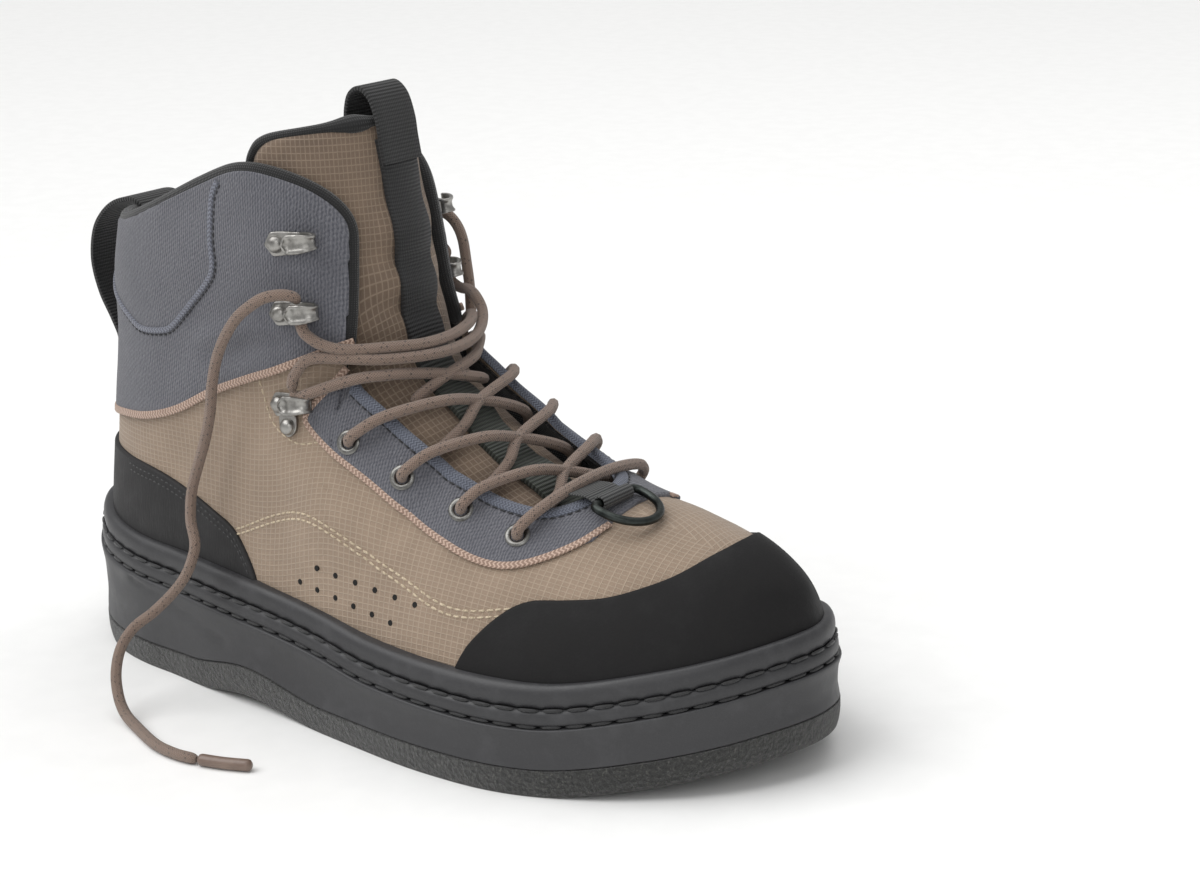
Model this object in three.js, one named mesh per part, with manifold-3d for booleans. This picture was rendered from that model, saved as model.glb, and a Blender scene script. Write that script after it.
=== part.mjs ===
// Wading boot, right foot, standing on its felt sole.
// Millimetres, +X to the toe, +Y to the inner (medial) side, +Z up, ground at z = 0.
import * as THREE from 'three';
import { mergeVertices } from 'three/addons/utils/BufferGeometryUtils.js';
import Module from 'manifold-3d';

const wasm = await Module();
wasm.setup();

// Driving sizes
const SOLE_LENGTH = 322;
const HEEL_X = -159.5;
const TOE_X = HEEL_X + SOLE_LENGTH;
const MIDDLE = { x: (HEEL_X + TOE_X) / 2, y: -1 };
const GAP = 0.3;
const SEAT = 1;
const SLIVER = 0.05;
const WALL = 2.4;
const FELT = 9.7;
const UPPER_INSET = 6;
const WELT_HEIGHT = 14.6;
const OVERLAY = 1.3;
const LACE = 4;

// Plan of the sole: y of its outer and inner edge, and of its middle line, by x
const PLAN = [
  { x: -149, outer: -22.5, inner: 24.5 },
  { x: -129, outer: -37.6, inner: 36.5 },
  { x: -100, outer: -45.2, inner: 39 },
  { x: -60, outer: -51.5, inner: 37 },
  { x: -20, outer: -56, inner: 39 },
  { x: 10, outer: -60, inner: 45 },
  { x: 50, outer: -64, inner: 57 },
  { x: 85, outer: -60.5, inner: 62 },
  { x: 118, outer: -46, inner: 59 },
  { x: 143, outer: -25.5, inner: 48 },
  { x: 156, outer: -6.5, inner: 33 },
];
const MIDLINE = [
  { x: -161, y: 1 }, { x: -100, y: -2.5 }, { x: -40, y: -8 }, { x: 20, y: -6 },
  { x: 70, y: -1 }, { x: 110, y: 5 }, { x: 140, y: 10.5 }, { x: 162.6, y: 14 },
];
const HEEL_ROUND = 63;
const TOE_ROUND = 105;

// Heights of the sole by x: felt underside, felt top and rim of the midsole
const SOLE = [
  { x: -160, floor: 0, felt: FELT, rim: 41.6 },
  { x: -100, floor: 0, felt: FELT, rim: 35.6 },
  { x: -78, floor: 0, felt: FELT + 0.6, rim: 34.8 },
  { x: -44, floor: 4, felt: FELT + 5.6, rim: 33.5 },
  { x: -4, floor: 0, felt: FELT, rim: 29.8 },
  { x: 20, floor: 0, felt: FELT, rim: 26.4 },
  { x: 88, floor: 0, felt: FELT, rim: 24.5 },
  { x: 125, floor: 4.8, felt: FELT + 4.8, rim: 29.8 },
  { x: 161, floor: 11.8, felt: FELT + 11.8, rim: 37.7 },
];

// Back of the upper by height
const BACK = [
  { z: 30, x: -154.5 }, { z: 40, x: -153.5 }, { z: 55, x: -150.5 }, { z: 75, x: -146.5 },
  { z: 91, x: -143.2 }, { z: 116, x: -138.5 }, { z: 136, x: -135.5 }, { z: 152, x: -134 },
  { z: 168, x: -131.5 }, { z: 195, x: -126.5 },
];

// Lines that fan over the upper from the toe tip to above the collar, a row for each: foot is the
// distance back from the toe along the sole, backZ a height on the back, ridge the point on the vamp,
// instep or tongue front, outer and inner the half widths and middle the y of the ridge
const FAN = [
  { foot: 0, backZ: 0, ridgeX: 156.6, ridgeZ: 38, outer: 60, inner: 60, middle: 14 },
  { foot: 4, backZ: 0, ridgeX: 156.1, ridgeZ: 48, outer: 60, inner: 60, middle: 13.8 },
  { foot: 16, backZ: 0, ridgeX: 151.3, ridgeZ: 61.5, outer: 60, inner: 58, middle: 12.5 },
  { foot: 37, backZ: 0, ridgeX: 138.5, ridgeZ: 72.8, outer: 58, inner: 58, middle: 10 },
  { foot: 67, backZ: 0, ridgeX: 113, ridgeZ: 82, outer: 57, inner: 58, middle: 7 },
  { foot: 102, backZ: 0, ridgeX: 84, ridgeZ: 87.5, outer: 53, inner: 57, middle: 4 },
  { foot: 139, backZ: 0, ridgeX: 60, ridgeZ: 95.6, outer: 51, inner: 53, middle: 2 },
  { foot: 182, backZ: 0, ridgeX: 40, ridgeZ: 107.2, outer: 49, inner: 50, middle: 0 },
  { foot: 232, backZ: 0, ridgeX: 24, ridgeZ: 119, outer: 45, inner: 45, middle: 0 },
  { foot: 282, backZ: 0, ridgeX: 12.6, ridgeZ: 130.3, outer: 42, inner: 42, middle: 0 },
  { foot: 310, backZ: 41, ridgeX: 8, ridgeZ: 142, outer: 40, inner: 40, middle: 0 },
  { foot: 310, backZ: 85, ridgeX: 6.3, ridgeZ: 152, outer: 39.5, inner: 39, middle: 0 },
  { foot: 310, backZ: 125, ridgeX: 5, ridgeZ: 165, outer: 39, inner: 38, middle: 0 },
  { foot: 310, backZ: 155, ridgeX: 1.2, ridgeZ: 187, outer: 39, inner: 37, middle: 0 },
  { foot: 310, backZ: 190, ridgeX: -7, ridgeZ: 226, outer: 39, inner: 37, middle: 0 },
].map((row, line) => ({ line, ...row }));

// How the same lines turn over the ridge: depth of the turn and squareness of its two sides
const TURN = [
  { depth: 120, outer: 2, inner: 2 },
  { depth: 120, outer: 2.05, inner: 2.05 },
  { depth: 120, outer: 2.15, inner: 2.15 },
  { depth: 120, outer: 2.2, inner: 2.2 },
  { depth: 120, outer: 2.2, inner: 2.2 },
  { depth: 120, outer: 2.25, inner: 2.3 },
  { depth: 120, outer: 2.35, inner: 2.7 },
  { depth: 85, outer: 2.4, inner: 3 },
  { depth: 66, outer: 2.4, inner: 2.8 },
  { depth: 56, outer: 2.3, inner: 2.5 },
  { depth: 50, outer: 2.2, inner: 2.3 },
  { depth: 48, outer: 2.1, inner: 2.1 },
  { depth: 47, outer: 2.1, inner: 2 },
  { depth: 46, outer: 2.1, inner: 2 },
  { depth: 46, outer: 2.1, inner: 2 },
].map((row, line) => ({ line, ...row }));
const HEEL_LINE = 10;
const TOP_LINE = FAN.length - 1;
const STEPS_PER_LINE = 2;
const STEPS_PER_SIDE = 6;

// Side outlines of what is cut from or laid on the upper, x and z
const COLLAR = [
  [-5.5, 168], [-7, 180], [-15, 189.5], [-29, 195.5], [-44, 196.5], [-62, 190.5], [-90, 178.5], [-112, 171],
  [-136, 168],
];
const TOE_CAP = [
  [53, 28], [57.5, 37], [62.3, 47.3], [71.4, 57.8], [80, 63.1], [92, 64.6], [105.4, 66.3], [118, 70.5], [125.5, 74.8],
  [132.5, 82], [134, 100],
];
const COUNTER = [
  [-35, 30], [-40.6, 46.4], [-45.4, 54.5], [-54.4, 63.8], [-66, 68.7], [-80, 73.7], [-97.4, 78], [-115.4, 80],
  [-165, 82.5],
];
const EYESTAY = [
  [-5, 129], [-9, 123], [-17, 112.8], [-15.8, 108.4], [-5.5, 101.4], [12.1, 93], [28.7, 83.4], [45.5, 75.7],
  [58.3, 72.3], [69, 71.7], [79, 74.5], [88, 78.8], [92.6, 83], [93, 110], [-5, 140],
];
const CUFF = [
  [-165, 92.5], [-140, 93], [-118.7, 96.4], [-100.7, 99], [-83.2, 104.3], [-63.2, 114.3], [-44.7, 121.8],
  [-29.5, 127.4], [-11, 135.2], [-4, 138],
];
const TONGUE = [
  [-42, 206], [-34, 130], [-14, 108], [30, 82], [70, 62], [100, 60], [100, 90], [60, 120], [30, 140], [14, 206],
  [2, 212.5], [-20, 211],
];
const THROAT = [
  [-5.3, 38], [-1, 31.8], [6, 31], [28, 29.3], [48, 26.6], [62, 24], [71, 20.5], [77, 14], [79.8, 7],
];
const RAISED = [
  { line: 5, sink: 6 }, { line: 8, sink: 5 }, { line: 10, sink: 2 }, { line: 12, sink: 0.6 }, { line: 14, sink: 0 },
];

const HOOKS = [
  { name: 'lock_hook', line: 9.55, share: 0.228, lobed: true },
  { name: 'speed_hook_low', line: 11.55, share: 0.206, lobed: false },
  { name: 'speed_hook_top', line: 12.7, share: 0.201, lobed: false },
];
const HOOK = { plate: 1, width: 6 };
const EYELET = { hole: 3.3 };
const TONGUE_DEPTH = 6;
const WEBBING = { width: 20, thick: 1.7 };
const HEEL_WEBBING = { width: 22, thick: 1.7 };
const RING = { bar: { x: 89, y: -5, z: 90.35 }, tilt: -17, width: 25, depth: 17, wire: 3,
  tabThick: 0.8, tabWidth: 17, tabWrap: 243 };

// Middle lines of the pull loops seen from the side, x and z
const PULL_LOOP = [
  [-2.2, 197], [-3.6, 205], [-4.6, 212], [-7.4, 219.5], [-12.2, 223], [-16.8, 220.5], [-18.8, 214], [-19, 205],
  [-17.6, 196],
];
const HEEL_LOOP = [
  [-141.9, 112], [-141.8, 118], [-145, 125], [-150.5, 135], [-153.3, 147], [-151, 159], [-145, 167], [-137, 171.8],
  [-127.5, 173.1], [-121.2, 168], [-120.8, 154],
];

// Routes of the lace, placed by hand over the hooks and down to the ground: x, y and z
const LACE_ROUTES = {
  lowHookLateral: [
    [-13.5, -43, 121.2], [-6.8, -39.6, 123.9], [1.2, -34, 126.5], [7, -27.8, 127], [12, -20, 126.6], [17, -6, 124],
    [20, 8, 120], [18.5, 16, 117],
  ],
  lowHookMedial: [
    [14, -20, 116.5], [16, -14, 120], [18, -3, 124], [17, 11, 126.2], [10.5, 22.5, 127.5], [4, 31.2, 127.9],
    [-5, 38.5, 124.9], [-13.5, 43.2, 121],
  ],
  ankleUpper: [
    [-16.5, -41.3, 145.1], [-14.8, -41, 141.8], [-9.5, -38.2, 138], [-2, -33.5, 136.3], [7.8, -23, 136.3], [13.5, -12, 135.8], [15, 1, 136], [12.6, 14, 137],
    [6, 25, 137], [-1.5, 32.5, 134.8], [-11, 39.5, 128.5],
  ],
  ankleLower: [
    [-18.8, -43.5, 127.5], [-14, -41, 133], [-3.6, -35.2, 133.4], [6, -27.6, 132.6], [14.4, -15.4, 132.2],
    [17.6, -2, 132], [16.6, 11, 132.6], [11.6, 22.6, 134], [6.8, 30, 137.6], [2, 32.8, 141.6], [-5, 37, 143],
    [-11.5, 40.2, 142.2], [-15.6, 40.8, 143.6], [-16.5, 40.4, 145.2],
  ],
  freeEnd: [
    [-17.4, -41, 152.7], [-18.5, -42.2, 155], [-22, -45.2, 155.9], [-27, -48.4, 154.8], [-32, -50.2, 151.6],
    [-37, -51.8, 147.2], [-43.2, -52, 139.6],
    [-48.4, -51.5, 131], [-52.3, -50.8, 121], [-55.2, -50, 110], [-59.2, -49.6, 99], [-63.4, -49.8, 89],
    [-66, -51.5, 79], [-65.6, -53.5, 69], [-61.8, -56, 61.6], [-62, -57.5, 56], [-64.5, -59.5, 49],
    [-69.2, -62, 42.2], [-75.4, -66.5, 35], [-80.8, -71.5, 29.6], [-82.4, -77, 23.4], [-80.6, -82, 16],
    [-76.6, -85.5, 9], [-71, -88, 4], [-60.6, -91.9, 2.1], [-45, -98.4, 2.1], [-33, -100.4, 2.1], [-23.4, -99.8, 2.1],
  ],
  aglet: [[-22.8, -99.7, 2.3], [-13, -97.2, 2.3], [-3.3, -93.5, 2.3]],
  loop: [
    [-17.4, 39.9, 152.7], [-19, 41.4, 155.4], [-24.6, 44.6, 157], [-29.6, 46, 160.8], [-29.8, 46, 166.4],
    [-25.5, 45, 169], [-20, 45, 168], [-15.8, 45, 164.4],
    [-13.6, 45.3, 159], [-12.8, 45.8, 151], [-12.4, 46.6, 142], [-13, 47.6, 133], [-13.6, 48.4, 127],
  ],
};

const EYELETS = [
  { line: 8.17, share: 0.19 }, { line: 7.18, share: 0.19 }, { line: 6.27, share: 0.18 }, { line: 5.42, share: 0.17 },
];

// Monotone cubic through two named columns of a table
function curve(rows, from, to) {
  const xs = rows.map((row) => row[from]);
  const ys = rows.map((row) => row[to]);
  const last = xs.length - 1;
  const step = (i) => xs[i + 1] - xs[i];
  const rise = (i) => (ys[i + 1] - ys[i]) / step(i);
  const slopes = xs.map((_, i) => {
    if (i === 0) return rise(0);
    if (i === last) return rise(last - 1);
    const before = rise(i - 1);
    const after = rise(i);
    if (before * after <= 0) return 0;
    const first = 2 * step(i) + step(i - 1);
    const second = step(i) + 2 * step(i - 1);
    return (first + second) / (first / before + second / after);
  });
  return (x) => {
    if (x <= xs[0]) return ys[0] + (x - xs[0]) * slopes[0];
    if (x >= xs[last]) return ys[last] + (x - xs[last]) * slopes[last];
    let i = 0;
    while (x > xs[i + 1]) i += 1;
    const width = step(i);
    const t = (x - xs[i]) / width;
    const a = (1 + 2 * t) * (1 - t) ** 2 * ys[i] + t * t * (3 - 2 * t) * ys[i + 1];
    return a + width * (t * (1 - t) ** 2 * slopes[i] - t * t * (1 - t) * slopes[i + 1]);
  };
}

const clamp = (value) => Math.min(1, Math.max(0, value));
const mix = (a, b, t) => a + (b - a) * t;
const eased = (count) => Array.from({ length: count + 1 }, (_, i) => (1 - Math.cos((Math.PI * i) / count)) / 2);
const cap = (distance, length) => Math.sqrt(1 - (1 - clamp(distance / length)) ** 2);

const midline = curve(MIDLINE, 'x', 'y');
const floorZ = curve(SOLE, 'x', 'floor');
const feltZ = curve(SOLE, 'x', 'felt');
const rimZ = curve(SOLE, 'x', 'rim');
const backX = curve(BACK, 'z', 'x');

// Half width of the plan before its two ends are rounded
const endCaps = (x, inset) => cap(x - HEEL_X - inset, HEEL_ROUND - inset) * cap(TOE_X - inset - x, TOE_ROUND - inset);
const fullRows = PLAN.map((row) => ({
  x: row.x,
  outer: (midline(row.x) - row.outer) / endCaps(row.x, 0),
  inner: (row.inner - midline(row.x)) / endCaps(row.x, 0),
}));
const fullWidth = { outer: curve(fullRows, 'x', 'outer'), inner: curve(fullRows, 'x', 'inner') };
const flatEnds = (x) => Math.min(PLAN[PLAN.length - 1].x, Math.max(PLAN[0].x, x));
const planWidth = (x, side) => fullWidth[side](flatEnds(x));
const signOf = { outer: -1, inner: 1 };

function solePoint(share, side, inset, z) {
  const x = mix(HEEL_X + inset, TOE_X - inset, share);
  const width = (planWidth(x, side) - inset) * endCaps(x, inset);
  return [x, midline(x) + signOf[side] * width, z(x)];
}

const columns = (rows) => Object.fromEntries(
  Object.keys(rows[0]).filter((name) => name !== 'line').map((name) => [name, curve(rows, 'line', name)]),
);
const fan = columns(FAN);
const turn = columns(TURN);

// Point of the upper's form: line runs from the toe tip to the collar, share from ridge to foot or back
function formPoint(line, share, side, grow = 0) {
  const toeX = TOE_X - UPPER_INSET + grow;
  const cornerZ = rimZ(BACK[1].x) + SEAT;
  const heelX = backX(cornerZ) - grow;
  let footX = mix(toeX, heelX, fan.foot(Math.min(line, HEEL_LINE)) / FAN[HEEL_LINE].foot);
  let footZ = rimZ(footX) + SEAT;
  if (line >= HEEL_LINE) {
    footZ = line === HEEL_LINE ? cornerZ : Math.max(cornerZ, fan.backZ(line));
    footX = backX(footZ) - grow;
  }
  const along = 0.02;
  const slopeX = fan.ridgeX(line + along) - fan.ridgeX(Math.max(0, line - along));
  const slopeZ = fan.ridgeZ(line + along) - fan.ridgeZ(Math.max(0, line - along));
  const slope = Math.hypot(slopeX, slopeZ);
  const tip = line === 0;
  const ridgeX = tip ? toeX : fan.ridgeX(line) + (grow * slopeZ) / slope;
  const ridgeZ = tip ? footZ : fan.ridgeZ(line) - (grow * slopeX) / slope;
  const x = mix(ridgeX, footX, share);
  const z = mix(ridgeZ, footZ, share);
  const length = Math.hypot(footX - ridgeX, footZ - ridgeZ);
  const ease = share * share * (3 - 2 * share);
  const full = mix(fan[side](line), planWidth(x, side) - UPPER_INSET, ease) + grow;
  const depth = Math.max(1e-6, Math.min(turn.depth(line) + grow, length));
  const power = turn[side](line);
  const front = (1 - (1 - clamp((share * length) / depth)) ** power) ** (1 / power);
  const heelRound = HEEL_ROUND - UPPER_INSET - 9 * clamp((z - 40) / 80) + grow;
  const back = share === 1 && line >= HEEL_LINE ? 0 : cap(x - backX(z) + grow, heelRound);
  const toe = cap(toeX - x, TOE_ROUND - UPPER_INSET + grow);
  const footMiddle = midline(footX) * (line > HEEL_LINE ? clamp(1 - (line - HEEL_LINE) / 2) : 1);
  const y = mix(fan.middle(line), footMiddle, share) + signOf[side] * full * front * back * toe;
  return new THREE.Vector3(x, y, z);
}

// Closed geometry from rows of points that all have the same count, first and last row capped or closed
function geometryFrom(points, faces) {
  const geometry = new THREE.BufferGeometry();
  geometry.setAttribute('position', new THREE.Float32BufferAttribute(points.flat(), 3));
  geometry.setIndex(faces.flat());
  return geometry;
}

function quad(faces, a, b, c, d) {
  faces.push([a, b, c], [a, c, d]);
}

// The whole form as a closed solid, to be cut by others; a drop hangs a skirt below its foot
function formSolid(grow, drop = 0) {
  const rows = TOP_LINE * STEPS_PER_LINE;
  const heelRow = HEEL_LINE * STEPS_PER_LINE;
  const shares = eased(STEPS_PER_SIDE);
  const growAt = typeof grow === 'function' ? grow : () => grow;
  const points = [];
  for (let i = 0; i <= rows; i += 1) {
    const line = i / STEPS_PER_LINE;
    const outer = [...shares].reverse().map((share) => formPoint(line, share, 'outer', growAt(line)));
    const inner = shares.slice(1).map((share) => formPoint(line, share, 'inner', growAt(line)));
    const arc = [...outer, ...inner].map((p) => p.toArray());
    const [first, last] = [arc[0], arc[arc.length - 1]].map(([x, y, z]) => [x, y, z - drop]);
    points.push(...(drop ? [first, ...arc, last] : arc));
  }
  const count = points.length / (rows + 1);
  const edge = drop ? 1 : 0;
  const faces = [];
  for (let i = 0; i < rows; i += 1) {
    const here = i * count;
    const next = here + count;
    const skip = i < heelRow ? 0 : edge;
    for (let j = skip; j < count - 1 - skip; j += 1) quad(faces, here + j, here + j + 1, next + j + 1, next + j);
    if (i < heelRow) quad(faces, here + count - 1, here, next, next + count - 1);
  }
  const top = rows * count;
  for (let j = edge; j < (count - 1) / 2; j += 1) {
    const far = top + count - 1 - j;
    quad(faces, top + j, top + j + 1, far - 1, far);
  }
  return toSolid(geometryFrom(points, faces));
}

// Manifold solid from a geometry, turned outside out if need be
function toSolid(geometry) {
  const bare = geometry.clone();
  bare.deleteAttribute('normal');
  bare.deleteAttribute('uv');
  const merged = mergeVertices(bare, 1e-4);
  const kept = [];
  const index = merged.index.array;
  for (let i = 0; i < index.length; i += 3) {
    const [a, b, c] = [index[i], index[i + 1], index[i + 2]];
    if (a !== b && b !== c && c !== a) kept.push(a, b, c);
  }
  const make = (triVerts) => new wasm.Manifold(new wasm.Mesh({
    numProp: 3,
    vertProperties: new Float32Array(merged.attributes.position.array),
    triVerts: new Uint32Array(triVerts),
  }));
  const position = merged.attributes.position;
  let volume = 0;
  for (let i = 0; i < kept.length; i += 3) {
    const [a, b, c] = [0, 1, 2].map((k) => new THREE.Vector3().fromBufferAttribute(position, kept[i + k]));
    volume += a.dot(b.cross(c));
  }
  if (volume < 0) {
    for (let i = 0; i < kept.length; i += 3) [kept[i], kept[i + 1]] = [kept[i + 1], kept[i]];
  }
  return make(kept);
}

// Geometry of a solid, without the slivers that cuts leave behind
function toGeometry(solid) {
  const mesh = solid.asOriginal().simplify(SLIVER).getMesh();
  const geometry = new THREE.BufferGeometry();
  geometry.setAttribute('position', new THREE.BufferAttribute(new Float32Array(mesh.vertProperties), 3));
  geometry.setIndex(new THREE.BufferAttribute(new Uint32Array(mesh.triVerts), 1));
  geometry.computeVertexNormals();
  return geometry;
}

// Flat outline given in x and z, pulled from one y to another
function sidePrism(outline, fromY = -90, toY = 90) {
  const shape = new THREE.Shape(outline.map(([x, z]) => new THREE.Vector2(x, z)));
  const geometry = new THREE.ExtrudeGeometry(shape, { depth: toY - fromY, bevelEnabled: false });
  geometry.rotateX(Math.PI / 2);
  geometry.translate(0, toY, 0);
  return toSolid(geometry);
}

function planPrism(outline, fromZ, toZ) {
  const shape = new THREE.Shape(outline.map(([x, y]) => new THREE.Vector2(x, y)));
  const geometry = new THREE.ExtrudeGeometry(shape, { depth: toZ - fromZ, bevelEnabled: false });
  geometry.translate(0, 0, fromZ);
  return toSolid(geometry);
}

// Slab of the sole: levels go up its side, each with an inset and a height by x
const SOLE_STEPS = 18;

function soleLoop(level) {
  const shares = eased(SOLE_STEPS);
  const outer = shares.map((share) => solePoint(share, 'outer', level.inset, level.z));
  const inner = shares.slice(1, -1).reverse().map((share) => solePoint(share, 'inner', level.inset, level.z));
  return [...outer, ...inner];
}

function soleSlab(levels) {
  const loops = levels.map(soleLoop);
  const count = loops[0].length;
  const faces = [];
  for (let k = 0; k < loops.length - 1; k += 1) {
    for (let i = 0; i < count; i += 1) {
      const next = (i + 1) % count;
      quad(faces, k * count + i, k * count + next, (k + 1) * count + next, (k + 1) * count + i);
    }
  }
  const across = (start, turned) => {
    for (let i = 0; i < SOLE_STEPS; i += 1) {
      const ring = [i, i + 1, count - i - 1, (count - i) % count].map((n) => start + n);
      if (turned) ring.reverse();
      quad(faces, ...ring);
    }
  };
  across(0, true);
  across((loops.length - 1) * count, false);
  return toSolid(geometryFrom(loops.flat(), faces));
}

// Bead that runs round the sole: its section is a closed list of inset and height over the rim
function soleBead(section) {
  const loops = section.map(({ inset, rise }) => soleLoop({ inset, z: (x) => rimZ(x) + rise }));
  const count = loops[0].length;
  const faces = [];
  for (let k = 0; k < loops.length; k += 1) {
    const up = (k + 1) % loops.length;
    for (let i = 0; i < count; i += 1) {
      const next = (i + 1) % count;
      quad(faces, k * count + i, k * count + next, up * count + next, up * count + i);
    }
  }
  return toSolid(geometryFrom(loops.flat(), faces));
}

// Tube along points, as a solid
function tube(points, diameter, steps = 3, sides = 8) {
  const path = new THREE.CatmullRomCurve3(points.map((p) => p.clone()), false, 'centripetal');
  const round = Array.from({ length: sides }, (_, i) => {
    const angle = (2 * Math.PI * i) / sides;
    return new THREE.Vector2((diameter / 2) * Math.cos(angle), (diameter / 2) * Math.sin(angle));
  });
  const geometry = new THREE.ExtrudeGeometry(new THREE.Shape(round), {
    steps: Math.max(6, Math.round(path.getLength() / (diameter * steps))),
    extrudePath: path,
    bevelEnabled: false,
  });
  return toSolid(geometry);
}

// Frame on the form's face: place, outward normal and direction to the toe
function faceFrame(line, share, side, grow = 0) {
  const at = formPoint(line, share, side, grow);
  const step = 0.02;
  const down = formPoint(line, share + step, side, grow).sub(formPoint(line, share - step, side, grow));
  const along = formPoint(line - step, share, side, grow).sub(formPoint(line + step, share, side, grow));
  const normal = new THREE.Vector3().crossVectors(down, along).normalize();
  if (normal.y * signOf[side] < 0) normal.negate();
  const toward = new THREE.Vector3(1, 0, 0.12);
  toward.addScaledVector(normal, -toward.dot(normal)).normalize();
  return { at, normal, toward };
}

function placed(geometry, frame) {
  const sideways = new THREE.Vector3().crossVectors(frame.normal, frame.toward);
  const matrix = new THREE.Matrix4().makeBasis(frame.toward, sideways, frame.normal).setPosition(frame.at);
  return geometry.clone().applyMatrix4(matrix);
}

// Soles and welts
function outsole() {
  return soleSlab([
    { inset: 1.2, z: floorZ },
    { inset: 0.2, z: (x) => floorZ(x) + 1.2 },
    { inset: 0.4, z: feltZ },
  ]);
}

function midsole() {
  const rise = (share) => (x) => mix(feltZ(x) + GAP, rimZ(x), share);
  return soleSlab([
    { inset: 0.6, z: rise(0) },
    { inset: 1.3, z: rise(0.35) },
    { inset: 1.1, z: rise(0.7) },
    { inset: 0, z: rise(0.93) },
    { inset: 0.5, z: rise(1) },
  ]);
}

function lowerWelt() {
  return soleBead([
    { inset: 4.6, rise: SEAT }, { inset: 2, rise: SEAT }, { inset: 1.1, rise: 1.6 }, { inset: 1, rise: 3.4 },
    { inset: 1.5, rise: 5.2 }, { inset: 2.6, rise: 6.3 }, { inset: 4.6, rise: 6.3 },
  ]);
}

function upperWelt(form) {
  return soleBead([
    { inset: 10, rise: 6.6 }, { inset: 3.4, rise: 6.6 }, { inset: 2.5, rise: 7.8 }, { inset: 2.1, rise: 10.2 },
    { inset: 2.6, rise: 12.6 }, { inset: 3.8, rise: 14.1 }, { inset: 10, rise: WELT_HEIGHT },
  ]).subtract(form);
}

function insole() {
  return soleSlab([
    { inset: 13.5, z: (x) => rimZ(x) + SEAT },
    { inset: 13.5, z: (x) => rimZ(x) + 4.5 },
  ]);
}

// Upper and what is laid on it
const collarCutter = sidePrism([...COLLAR, [-175, 168], [-175, 260], [40, 260], [40, 168]].reverse());
const throatCutter = planPrism([...THROAT.map(([x, y]) => [x, -y]), [80.6, 0],
  ...[...THROAT].reverse()], 68, 260);
const aboveWelt = soleSlab([
  { inset: -12, z: () => -20 },
  { inset: -12, z: (x) => rimZ(x) + WELT_HEIGHT + GAP },
]);

function eyeletHole(line, share, side) {
  const frame = faceFrame(line, share, side);
  const drill = new THREE.CylinderGeometry(EYELET.hole, EYELET.hole, 24, 8).rotateX(Math.PI / 2);
  return toSolid(placed(drill, frame));
}

const holes = ['outer', 'inner'].flatMap((side) => EYELETS.map(({ line, share }) => eyeletHole(line, share, side)))
  .reduce((all, hole) => all.add(hole));

function upper() {
  return formSolid(0).subtract(formSolid(-WALL, 6)).subtract(collarCutter).subtract(throatCutter).subtract(holes);
}

function overlay(outline, low = GAP, high = GAP + OVERLAY) {
  return formSolid(high).subtract(formSolid(low, 6)).intersect(sidePrism(outline)).subtract(aboveWelt);
}

function toeCap() {
  return overlay([...TOE_CAP, [190, 100], [190, 28]]);
}

function counter() {
  return overlay([...COUNTER, [-175, 85], [-175, 30]]);
}

function eyestay() {
  return overlay(EYESTAY).subtract(throatCutter).subtract(holes);
}

function cuff() {
  return overlay([...CUFF, [-4, 230], [-175, 230], [-175, 92.5]]).subtract(collarCutter).subtract(throatCutter);
}

// Tongue, its webbing with the pull loop, and the pull loop of the heel
const sink = curve(RAISED, 'line', 'sink');
const sunk = (extra) => (line) => -WALL - 0.4 - sink(Math.max(RAISED[0].line, line)) + extra;

function tongue() {
  return formSolid(sunk(0)).subtract(formSolid(sunk(-TONGUE_DEPTH), 6)).intersect(sidePrism(TONGUE));
}

// Strap seen from the side: points along its middle, pulled across the boot
function sideStrap(points, thick, width, middleY = 0) {
  const path = new THREE.CatmullRomCurve3(points.map(([x, z]) => new THREE.Vector3(x, 0, z)), false, 'centripetal');
  const steps = Math.round(points.length * 1.4);
  const edge = (sign) => Array.from({ length: steps + 1 }, (_, i) => {
    const at = path.getPointAt(i / steps);
    const along = path.getTangentAt(i / steps);
    return [at.x - (sign * along.z * thick) / 2, at.z + (sign * along.x * thick) / 2];
  });
  return sidePrism([...edge(1), ...edge(-1).reverse()], middleY - width / 2, middleY + width / 2);
}

function webbing() {
  const strip = formSolid(sunk(GAP + WEBBING.thick)).subtract(formSolid(sunk(GAP), 6))
    .intersect(sidePrism([[9, 204], [-30, 204], [-30, 130], [30, 60], [84, 60], [84, 120], [40, 150]],
      -WEBBING.width / 2, WEBBING.width / 2));
  return strip.add(sideStrap(PULL_LOOP, WEBBING.thick, WEBBING.width));
}

function heelLoop() {
  return sideStrap(HEEL_LOOP, HEEL_WEBBING.thick, HEEL_WEBBING.width);
}

// D-ring lying forward on the vamp, and the tab that holds its bar
function ringTab() {
  const { x, y, z } = RING.bar;
  const radius = RING.wire / 2 + GAP + RING.tabThick / 2;
  const wrap = Array.from({ length: 8 }, (_, i) => {
    const angle = THREE.MathUtils.degToRad(180 - (RING.tabWrap * i) / 7);
    return [x + radius * Math.cos(angle), z + radius * Math.sin(angle)];
  });
  return sideStrap([[x - 11, z + 1.2], [x - 6, z + 1.3], ...wrap], RING.tabThick, RING.tabWidth, y);
}

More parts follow.
